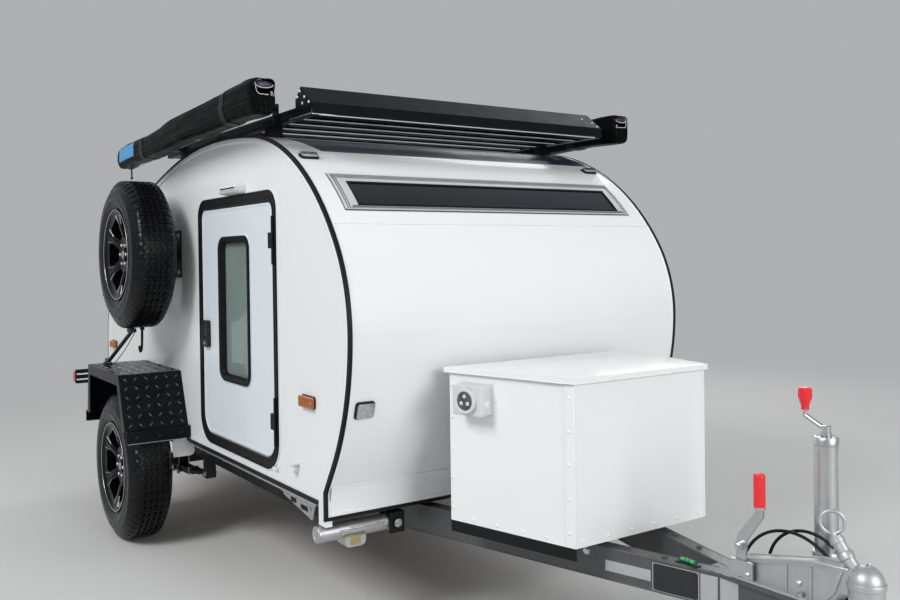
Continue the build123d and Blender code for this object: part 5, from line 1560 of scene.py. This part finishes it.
def make_lever():
    """The handbrake's pivot bolts, its grip's collar and rounded end."""
    lever_x, y = head_x - 0.341, -0.039
    made = Shape()
    made.bolt(at(lever_x + 0.003, y - 0.0140, 0.505), (0, -1, 0), 0.0080, 0.007)
    made.bolt(at(lever_x + 0.030, y - 0.0100, 0.430), (0, -1, 0), 0.0065, 0.006)
    made.frame = aim(at(head_x - 0.278, y, 0.6215), (0, 0, 1))
    made.collar(-0.004, 0.0022, 0.0125, 0.0172, 28)
    made.piece("lever_fittings", [zinc], "zinc", smooth=30)
    made = Shape(aim(at(head_x - 0.278, y, 0.622), (0, 0, 1)))
    for z in (0.006, 0.083):
        made.lathe([(z - 0.0026, 0.0158), (z, 0.0165), (z + 0.0026, 0.0158)], 28)
    made.lathe([(0.0905, 0.0090), (0.0925, 0.0068), (0.0932, 0)], 24)
    made.piece("grip_ends", [grip_red], "grip_red", smooth=50)


def make_jack():
    """The jack's collars, clamp screw, knob flutes, and its wheel's tread, rim and nuts."""
    jack_x, jack_y = head_x - 0.183, 0.120
    made = Shape(aim(at(jack_x, jack_y, 0), (0, 0, 1)))
    radius = 0.0315
    made.lathe([(0.786, radius - 0.001), (0.789, radius + 0.0016), (0.806, radius + 0.0016),
                (0.8105, radius - 0.0010), (0.8112, radius - 0.006), (0.8092, radius - 0.0075),
                (0.8092, 0)], 48)
    made.lathe([(0.300, radius - 0.001), (0.300, radius + 0.0014), (0.318, radius + 0.0014),
                (0.320, radius - 0.001)], 48)
    made.lathe([(0.8085, 0.0145), (0.8210, 0.0145), (0.8225, 0.0130), (0.8225, 0)], 32)
    made.lathe([(0.8300, 0.0105), (0.8300, 0.0136), (0.8385, 0.0136), (0.8400, 0.0115),
                (0.8400, 0)], 24)
    for z in (0.470, 0.356):
        made.lathe([(z, radius - 0.001), (z, radius + 0.0038), (z + 0.004, radius + 0.005),
                    (z + 0.024, radius + 0.005), (z + 0.028, radius + 0.0038),
                    (z + 0.028, radius - 0.001)], 48)
    made.frame = Matrix()
    made.tube([(front_x + jack_x + radius * 0.99, jack_y + 0.006, 0.33),
               (front_x + jack_x + radius * 0.99, jack_y + 0.006, 0.78)], 0.0016, 8)
    made.piece("jack_collars", [zinc], "zinc", smooth=40)
    made = Shape()
    side_y = jack_y - 0.034
    screw = at(jack_x + 0.046, side_y, 0.484)
    made.tube([screw - Vector((0.012, 0, 0)), screw + Vector((0.052, 0, 0))], 0.0060, 12)
    made.tube([screw + Vector((0.050, -0.030, 0)), screw + Vector((0.050, 0.030, 0))], 0.0042, 10)
    for x in (-0.026, 0.026):
        made.bolt(at(jack_x + x, arm_apex_half + 0.001, 0.4400), (0, 0, 1), 0.0070, 0.0075)
        made.bolt(at(jack_x + x, arm_apex_half - 0.004, 0.4705), (0, 0, 1), 0.0070, 0.0075)
    made.piece("jack_clamp_screw", [zinc], "zinc", smooth=30)
    made = Shape()
    knob_x = front_x + jack_x - 0.062
    made.frame = aim((knob_x, jack_y, 0), (0, 0, 1))
    for n in range(10):
        with made.moved(spin(math.tau * n / 10)):
            made.plate(((0.0150, -0.0014), (0.0184, -0.0010), (0.0184, 0.0010), (0.0150, 0.0014)),
                       (0.9075, 0.9320))
    made.lathe([(0.9340, 0.0165), (0.9362, 0.0150), (0.9378, 0.0100), (0.9370, 0.0070),
                (0.9370, 0)], 28)
    made.lathe([(0.8900, 0.0120), (0.8915, 0.0132), (0.8935, 0.0132), (0.8950, 0.0120)], 28)
    made.piece("knob_flutes", [grip_red], "grip_red", bevel=0.0004)
    # jockey wheel: ribbed tyre band, hub face and axle nuts
    wheel_x = front_x + jack_x - 0.030
    made = Shape(aim((wheel_x, jack_y, 0.100), (0, 1, 0)))
    for depth in (-0.016, -0.0055, 0.0055, 0.016):
        made.hoop(depth, 0.0032, 0.0022, 0.0985, 0.0998, 64)
    made.piece("jockey_tread", [wheel_rubber], "jockey_rubber", "jack_wheel", smooth=40)
    made = Shape()
    for sign in (-1, 1):
        made.frame = aim((wheel_x, jack_y + sign * 0.0300, 0.100), (0, sign, 0))
        made.lathe([(-0.001, 0.068), (0.0022, 0.0665), (0.0022, 0.060), (-0.0004, 0.056),
                    (-0.0004, 0.026), (0.0022, 0.022), (0.0042, 0.0200), (0.0042, 0.012)], 48)
        for turn in turns(5):
            with made.moved(spin(turn)):
                made.plate(((0.020, -0.0050), (0.061, -0.0036), (0.061, 0.0036), (0.020, 0.0050)),
                           (-0.0006, 0.0018))
    made.piece("jockey_rim", [grey_plastic], "jockey_rubber", "jack_wheel", bevel=0.0005)
    made = Shape()
    for sign in (-1, 1):
        made.bolt((wheel_x, jack_y + sign * 0.0420, 0.100), (0, sign, 0), 0.0095, 0.008)
    made.piece("jockey_nuts", [zinc], "zinc", "jack_fork", smooth=30)


make_coupling()
make_lever()
make_jack()


# Chassis frame
def make_chassis():
    """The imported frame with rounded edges, and the toolbox's seat in it open at the front."""
    node = frame["nodes"]["chassis_frame"]
    mesh = bmesh.new()
    mesh.from_mesh(node.data)
    bmesh.ops.remove_doubles(mesh, verts=mesh.verts, dist=0.00002)
    data = bpy.data.meshes.new("chassis_rails")
    mesh.to_mesh(data)
    mesh.free()
    data.materials.clear()
    data.materials.append(frame_black)
    made = bpy.data.objects.new("chassis_rails", data)
    scene.collection.objects.link(made)
    opening = Shape()
    depth, wall = 0.085, 0.0045
    plan = []
    for x in (box_front + 0.01, box_front - depth):
        half = box_front_half + (box_front - x) * math.tan(taper)
        ends = [(x, half + 0.02), (x, wall - half)]
        plan += ends if x > box_front else ends[::-1]
    opening.plate([(front_x + x, y) for x, y in plan], (0.390, 0.4345))
    cutter = bpy.data.meshes.new("opening")
    bmesh.ops.recalc_face_normals(opening.mesh, faces=opening.mesh.faces)
    opening.mesh.to_mesh(cutter)
    opening.mesh.free()
    tool = bpy.data.objects.new("opening", cutter)
    scene.collection.objects.link(tool)
    cut = made.modifiers.new("cut", "BOOLEAN")
    cut.operation = "DIFFERENCE"
    cut.solver = "EXACT"
    cut.object = tool
    scene.view_layers[0].update()
    graph = bpy.context.evaluated_depsgraph_get()
    result = bpy.data.meshes.new_from_object(made.evaluated_get(graph))
    made.modifiers.clear()
    made.data = result
    bpy.data.objects.remove(tool)
    round_edges(made, 0.002, 50)
    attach(made, "trailer")
    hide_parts("chassis_frame")


make_chassis()


# Steadies, spare stay and running gear
steady_y, steady_z = 0.465, 0.372


def make_steadies():
    """Each leg's spring, its catch bolt and collars, and its pad's turned edge."""
    for side, sign in sides:
        body = f"steady_leg_{side}"
        pivot = at(0, sign * steady_y, steady_z)
        made = Shape()
        for out, wide in ((0.012, 0.0302), (0.150, 0.0298), (0.286, 0.0302)):
            made.frame = aim(pivot + Vector((0, sign * out, 0)), (0, sign, 0))
            made.hoop(0, 0.005, 0.004, 0.0285, wide, 40)
        made.frame = aim(pivot + Vector((0, sign * 0.300, 0)), (0, sign, 0))
        made.lathe([(-0.0002, 0.0285), (0.0012, 0.0270), (0.0012, 0.0210), (-0.0002, 0.0195)], 40,
                   closed=True)
        made.piece(f"steady_collars_{side}", [galvanised], "zinc", body, smooth=35)
        made = Shape()
        path = []
        for n in range(160):
            turn = math.tau * n / 10
            reach = 0.0052
            path.append(pivot + Vector((0.0300 + 0.0035 + reach * math.cos(turn),
                                        sign * (0.060 + 0.0008 * n), reach * math.sin(turn) + 0.010)))
        made.tube(path, 0.0011, 6)
        made.tube([path[0], pivot + Vector((0.030, sign * 0.045, 0.010))], 0.0011, 6)
        made.tube([path[-1], pivot + Vector((0.030, sign * 0.205, 0.010))], 0.0011, 6)
        made.piece(f"steady_spring_{side}", [zinc], "zinc", body)
        made = Shape()
        made.bolt(pivot + Vector((0.029, sign * 0.215, 0.0)), (1, 0, 0), 0.0075, 0.008)
        made.bolt(pivot + Vector((0.029, sign * 0.045, 0.0)), (1, 0, 0), 0.0065, 0.007)
        made.piece(f"steady_bolts_{side}", [zinc], "zinc", body, smooth=30)
        made = Shape()
        foot_y = pivot.y + sign * 0.164
        made.box(about(front_x, 0.0315), about(foot_y, 0.0425),
                 (0.3535, 0.3565))
        for x in (-0.0305, 0.0305):
            made.box(about(front_x + x, 0.0012), about(foot_y, 0.020),
                     (0.322, 0.350))
        made.piece(f"steady_pad_{side}", [brass_zinc], "zinc", body, bevel=0.0008)
        made = Shape()
        for x in (-0.029 - 0.015, 0.029 + 0.015):
            way = 1 if x > 0 else -1
            made.bolt(at(x, sign * steady_y, steady_z), (way, 0, 0), 0.0115, 0.009)
        made.piece(f"steady_pivot_{side}", [zinc], "zinc", smooth=30)


def make_stay():
    """The stay's foot bolts and eye, its safety wire, the hook on the wall, and carrier nuts."""
    made = Shape()
    for x in (-1.940, -1.900):
        made.bolt(at(x, -0.964, 0.8015), (0, 0, 1), 0.0062, 0.006)
    made.frame = aim(at(-1.9195, -0.964, 0.8115), (0, 1, 0))
    made.collar(-0.0125, 0.0125, 0.0085, 0.0135, 24)
    made.piece("stay_fittings", [zinc], "zinc", smooth=30)
    made = Shape()
    foot, head = at(-1.905, -0.938, 0.7925), at(-1.500, -0.938, 0.9880)
    made.tube([foot + (head - foot) * n / 8 - rise(0.012 * math.sin(math.pi * n / 8))
               for n in range(9)], 0.0021, 8)
    made.piece("stay_wire", [zinc], "zinc")
    made = Shape()
    hook = [(-1.520, 1.000), (-1.521, 0.960), (-1.524, 0.925), (-1.530, 0.900), (-1.541, 0.884),
            (-1.556, 0.880), (-1.566, 0.890), (-1.567, 0.906)]
    made.tube([(front_x + x, -0.905, z) for x, z in hook], 0.0058, 10)
    made.box(measured(-1.532, -1.508), (-0.912, -0.897), (0.985, 1.003))
    made.piece("stay_strap", [seal_black], "trim_black", smooth=50)
    made = Shape()
    for x in (-0.085, 0.085):
        for z in (-0.085, 0.085):
            made.bolt(at(spare_x + x, -(half_width + 0.006), spare_z + z), (0, -1, 0), 0.0095, 0.009)
    made.piece("carrier_bolts", [zinc], "zinc", smooth=30)


def make_running_gear():
    """U-bolts and spring eyes, brake drum fins, and bolts along the frame."""
    wheel_x = front_x + axle_x
    made = Shape()
    for sign in (-1, 1):
        for x in (-0.034, 0.034):
            path = [(wheel_x + x, sign * 0.676, 0.272), (wheel_x + x, sign * 0.676, 0.362),
                    (wheel_x + x, sign * 0.684, 0.3705), (wheel_x + x, sign * 0.716, 0.3705),
                    (wheel_x + x, sign * 0.724, 0.362), (wheel_x + x, sign * 0.724, 0.272)]
            made.tube(path, 0.0055, 8)
            for y in (0.676, 0.724):
                made.bolt((wheel_x + x, sign * y, 0.281), (0, 0, -1), 0.0085, 0.008)
        for end in (-0.400, 0.400):
            made.frame = aim((wheel_x + end, sign * 0.700, 0.338), (0, 1, 0))
            made.collar(-0.026, 0.026, 0.0085, 0.0150, 24)
            made.lathe([(-0.032, 0.0), (-0.032, 0.0072), (0.032, 0.0072), (0.032, 0)], 16)
            made.frame = Matrix()
        for leaf in (-0.18, 0.18):
            made.box(about(wheel_x + leaf, 0.010), (sign * 0.6755, sign * 0.7245),
                     (0.294, 0.329))
    made.piece("spring_fittings", [zinc], "zinc", smooth=35)
    made = Shape()
    for sign in (-1, 1):
        made.frame = aim((wheel_x, sign * 0.915, axle_z), (0, sign, 0))
        for depth in (-0.020, -0.008, 0.004, 0.016):
            made.hoop(depth, 0.002, 0.0012, 0.1245, 0.1285, 64)
    made.piece("drum_fins", [steel_dark], "steel_dark", smooth=40)
    made = Shape()
    for sign in (-1, 1):
        for x in (-0.35, -0.95, -1.15, -2.05, -2.40):
            made.bolt(at(x, sign * 0.725, 0.452), (0, sign, 0), 0.0085, 0.008)
        for x, z in ((-0.315, 0.4485), (-0.300, 0.4485), (-0.115, 0.4290)):
            made.bolt(at(x, sign * 0.7300, z), (0, sign, 0), 0.0070, 0.007)
    made.piece("frame_bolts", [zinc], "zinc", smooth=30)


make_steadies()
make_stay()
make_running_gear()


# Inside, hatch and rear
def make_mattress():
    """A foam mattress in a tufted cover, crowned and piped."""
    low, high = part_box("mattress")
    made = Shape()
    columns, rows = 30, 36
    middle = (Vector(low) + Vector(high)) / 2
    half = (Vector(high) - Vector(low)) / 2 - Vector((0.006, 0.006, 0.004))

    def place(u, v, top):
        """A point of the cover at -1 to 1 each way, on its top or its foot."""
        edge = max(abs(u), abs(v))
        corner = 1 - 0.035 * (abs(u) * abs(v)) ** 6
        side = 1 - 0.020 * (1 - edge ** 2)
        x = middle.x + half.x * u * corner * side
        y = middle.y + half.y * v * corner * side
        round_off = max(0.0, (edge - 0.955) / 0.045)
        if not top:
            return (x, y, low[2] + 0.001 + 0.016 * round_off ** 2)
        tuft = math.cos(u * math.pi * 4) * math.cos(v * math.pi * 3)
        soft = noise.noise(Vector((u * 3.1, v * 3.7, 2.0))) * 0.004
        crown = 0.010 * (1 - u * u) * (1 - v * v)
        height = half.z * 2 - 0.016 + crown + 0.0035 * tuft + soft - 0.024 * round_off ** 2
        return (x, y, low[2] + height)

    for top in (True, False):
        grid = []
        for row in range(rows + 1):
            v = math.sin(math.pi / 2 * (2 * row / rows - 1))
            grid.append([made.vert(place(math.sin(math.pi / 2 * (2 * column / columns - 1)), v, top))
                         for column in range(columns + 1)])
        made.span_rows(grid)
        border = grid[0] + [row[-1] for row in grid[1:]] + grid[-1][-2::-1]
        border += [row[0] for row in grid[-2:0:-1]]
        if top:
            upper = border
    belly = []
    for top_vert, low_vert in zip(upper, border):
        spot = (top_vert.co + low_vert.co) / 2
        out = Vector((spot.x - middle.x, spot.y - middle.y, 0)).normalized()
        belly.append(made.mesh.verts.new(spot + out * 0.0045))
    made.span_rows((border, belly, upper), closed=True)
    pad = made.piece("mattress_pad", [mattress_cloth], "mattress_grey", smooth=180, rounds=1,
                     replaces=["mattress"])


def pillow(name, place, half, turn):
    """A pillow: two crowned faces that meet in a seam drawn in between its corners."""
    made = Shape(Matrix.Translation(place) @ spin(turn))
    steps = 20
    for side in (1, -1):
        grid = []
        for row in range(steps + 1):
            v = 2 * row / steps - 1
            line = []
            for column in range(steps + 1):
                u = 2 * column / steps - 1
                pull = 1 - 0.07 * (1 - min(abs(u), abs(v)) ** 2)
                puff = max(0.0, (1 - u ** 4) * (1 - v ** 4)) ** 0.55
                fold = noise.noise(Vector((u * 2.4, v * 2.4, side + place.y))) * 0.006
                z = side * half[2] * puff * (0.75 if side < 0 else 1) + fold * puff
                line.append(made.vert((half[0] * u * pull, half[1] * v * pull, z)))
            grid.append(line)
        made.span_rows(grid)
    made.mesh.verts.ensure_lookup_table()
    bmesh.ops.remove_doubles(made.mesh, verts=made.mesh.verts, dist=0.0006)
    cushion = made.piece(name, [pillow_cloth], "mattress_grey", smooth=180, rounds=1)


def make_hatch():
    """The hatch's seal, its latch with a key barrel, its two ribs, and the hinge's screws."""
    rear = tail_x
    made = Shape()
    angles = [176 - 4 * n for n in range(17)]
    for hand in (-1, 1):
        y = hand * 0.7215
        line = [(rear + 0.0022, y, 0.812)]
        line += skin_line(y, angles, -0.0016)
        made.tube(line, 0.0022, 6)
    made.tube([(rear + 0.002, -0.7215, 0.8085), (rear + 0.002, 0.7215, 0.8085)], 0.0022, 6)
    made.piece("hatch_seal", [seal_black], "trim_black", "hatch")
    made = Shape()
    made.box((rear - 0.0235, rear - 0.0215), (-0.072, 0.072), (0.8285, 0.8615))
    made.box((rear - 0.0260, rear - 0.0235), (-0.050, 0.050), (0.8360, 0.8540))
    made.frame = aim((rear - 0.0255, 0.0, 0.845), (-1, 0, 0))
    made.lathe([(-0.001, 0.0080), (0.0022, 0.0076), (0.0028, 0.0062), (0.0018, 0.0050),
                (0.0018, 0)], 24)
    made.piece("hatch_latch", [grip_black], "trim_black", "hatch", bevel=0.0014)
    made = Shape()
    for y in (-0.36, 0.36):
        made.tube(skin_line(y, range(174, 109, -4), 0.0010), 0.0032, 8)
    made.piece("hatch_ribs", [white], "body_white", "hatch")
    made = Shape()
    hinge_angle = 104.9
    x, z = skin(hinge_angle, 0.0042)
    for y in (-0.60, 0.60):
        made.dome((x, y, z), skin_normal(hinge_angle), 0.0048, 0.0022)
    made.piece("hatch_hinge_screws", [zinc], "zinc")


def make_rear():
    """A blank number plate in its holder, bar bolts, and the rear panel's rivets."""
    bar_back = tail_x - 0.004
    made = Shape()
    back = bar_back - 0.005 - 0.008
    made.box((back - 0.0012, back + 0.001), (-0.186, 0.186), (0.5945, 0.6710))
    made.piece("number_plate_blank", [white], "body_white", bevel=0.0005)
    made = Shape()
    outer = [(-0.189, 0.5915), (0.189, 0.5915), (0.189, 0.6740), (-0.189, 0.6740)]
    inner = [(-0.184, 0.5965), (0.184, 0.5965), (0.184, 0.6690), (-0.184, 0.6690)]
    rows = [[(back + depth, y, z) for y, z in loop] for loop, depth in
            ((outer, 0.001), (outer, -0.0028), (inner, -0.0028), (inner, 0.001))]
    made.loop_loft(rows)
    made.piece("number_plate_frame", [seal_black], "trim_black", bevel=0.0008)
    made = Shape()
    for y in (-0.62, -0.58, 0.58, 0.62):
        for z in (0.620, 0.660):
            made.bolt((bar_back - 0.005, y, z), (-1, 0, 0), 0.0075, 0.007)
    for y in span(-0.66, 0.66, 10):
        made.dome((tail_x - 0.0002, y, 0.775), (-1, 0, 0), 0.0042, 0.0022)
    made.piece("rear_bolts", [zinc], "zinc", smooth=30)
    made = Shape()
    for y in (-0.739, 0.732):
        made.box((tail_x - 0.0022, tail_x + 0.0), (y, y + 0.007), (0.50, 0.79))
    made.box((tail_x - 0.0022, tail_x + 0.0), (-0.728, 0.728), (0.7885, 0.7945))
    made.piece("rear_hem", [white], "body_white", bevel=0.0006)


def make_galley():
    """Cupboard doors with bar pulls, the bench's metal edge, and a hob set in its top."""
    back = front_x - 2.150
    made = Shape()
    for n in range(3):
        left = -0.729 + 0.015 + n * 0.4860
        made.box((back - 0.012, back - 0.0005), (left + 0.004, left + 0.452), (1.164, 1.421))
    made.piece("galley_doors", [birch], "birch", bevel=0.0022)
    made = Shape()
    for n in range(3):
        middle = -0.729 + 0.015 + n * 0.4860 + 0.228
        made.tube([(back - out, middle + across, 1.395)
                   for out, across in ((0.012, -0.055), (0.030, -0.050), (0.030, 0.050),
                                       (0.012, 0.055))],
                  0.0042, 10)
    made.piece("galley_pulls", [aluminium], "zinc")
    made = Shape()
    made.box(measured(-2.6425, -2.6395), (-0.728, 0.728), (0.8345, 0.8508))
    made.piece("bench_edge", [aluminium], "zinc", bevel=0.0008)
    made = Shape()
    hob_top = 0.856
    made.box(measured(-2.42, -2.14), (-0.62, -0.14), (0.850, hob_top))
    made.piece("hob_plate", [cast_silver], "zinc", bevel=0.002)
    made = Shape()
    for y in (-0.49, -0.27):
        made.frame = aim(at(-2.27, y, hob_top), (0, 0, 1))
        made.lathe([(0.0, 0.046), (0.006, 0.045), (0.009, 0.038), (0.009, 0.014), (0.012, 0.012),
                    (0.012, 0)], 36)
        for turn in turns(4):
            with made.moved(spin(turn)):
                made.box((0.018, 0.088), (-0.0022, 0.0022), (0.0135, 0.0180))
                made.box((0.0842, 0.0884), (-0.0025, 0.0025), (0.0, 0.0176))
    for y in (-0.43, -0.33):
        made.frame = aim(at(-2.395, y, hob_top), (0, 0, 1))
        made.lathe([(0.0, 0.014), (0.012, 0.012), (0.013, 0.010), (0.013, 0)], 24)
    made.piece("hob_burners", [steel_dark], "steel_dark", bevel=0.0006, smooth=35)


make_mattress()
top = Vector(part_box("mattress")[1])
for number, y in enumerate((-0.34, 0.34)):
    pillow(f"pillow_{number + 1}", Vector((top.x - 0.24, y, top.z + 0.062)), (0.18, 0.27, 0.060),
           math.radians(3 - 6 * number))
make_hatch()
make_rear()
make_galley()


# Floor, light
world_light = (0.935, 0.965, 0.985)
world_strength = 0.45
floor_reach = 90
floor_fade = (3.3, 8.5)


def make_stage():
    """A wide pale floor. Far off, it takes the world's own tone for the camera and in
    reflections, so that no horizon shows."""
    mesh = bpy.data.meshes.new("studio")
    rim = [polar(t, floor_reach) for t in turns(96)]
    mesh.from_pydata(rim, [], [list(range(len(rim)))])
    studio = bpy.data.objects.new("studio", mesh)
    scene.collection.objects.link(studio)
    material = surface("studio_floor", (0.62, 0.62, 0.61), 0.8, (0.03, 1.5), (0.0004, 0.01))
    mesh.materials.append(material)
    tree, shader = nodes_of(material)
    links = tree.links
    place = add_node(tree, "ShaderNodeTexCoord")
    reach = add_node(tree, "ShaderNodeVectorMath", operation="LENGTH")
    links.new(place.outputs["Object"], reach.inputs[0])
    fade = add_node(tree, "ShaderNodeMapRange", interpolation_type="SMOOTHSTEP")
    fade.inputs["From Min"].default_value = floor_fade[0]
    fade.inputs["From Max"].default_value = floor_fade[1]
    links.new(reach.outputs["Value"], fade.inputs["Value"])
    ray = add_node(tree, "ShaderNodeLightPath")
    seen = ray.outputs["Is Camera Ray"]
    for kind in ("Is Glossy Ray", "Is Transmission Ray"):
        either = add_node(tree, "ShaderNodeMath", operation="MAXIMUM")
        links.new(seen, either.inputs[0])
        links.new(ray.outputs[kind], either.inputs[1])
        seen = either.outputs["Value"]
    share = add_node(tree, "ShaderNodeMath", operation="MULTIPLY")
    links.new(seen, share.inputs[0])
    links.new(fade.outputs["Result"], share.inputs[1])
    glow = add_node(tree, "ShaderNodeEmission", Strength=world_strength)
    glow.inputs["Color"].default_value = (*world_light, 1)
    mix = add_node(tree, "ShaderNodeMixShader")
    links.new(share.outputs["Value"], mix.inputs["Fac"])
    links.new(shader.outputs["BSDF"], mix.inputs[1])
    links.new(glow.outputs["Emission"], mix.inputs[2])
    output = next(n for n in tree.nodes if n.type == "OUTPUT_MATERIAL")
    links.new(mix.outputs["Shader"], output.inputs["Surface"])


def add_light(name, place, target, size, power):
    """A soft square lamp aimed at a target."""
    data = bpy.data.lights.new(name, "AREA")
    data.size = size
    data.energy = power
    light = bpy.data.objects.new(name, data)
    place, target = Vector(place), Vector(target)
    light.matrix_world = (Matrix.Translation(place)
                          @ (target - place).to_track_quat("-Z", "Y").to_matrix().to_4x4())
    scene.collection.objects.link(light)


make_stage()
add_light("key", (1.5, -6.5, 6.0), (0, 0, 0.8), 3.0, 415)
add_light("front", (7.0, 0.5, 2.6), (0.5, 0, 0.8), 3.0, 200)
add_light("fill", (-4.0, 6.0, 5.0), (0, 0, 0.8), 4.0, 160)
world = bpy.data.worlds.new("world")
world.use_nodes = True
world.node_tree.nodes["Background"].inputs["Color"].default_value = (*world_light, 1)
world.node_tree.nodes["Background"].inputs["Strength"].default_value = world_strength
scene.world = world
scene.view_settings.view_transform = "Standard"
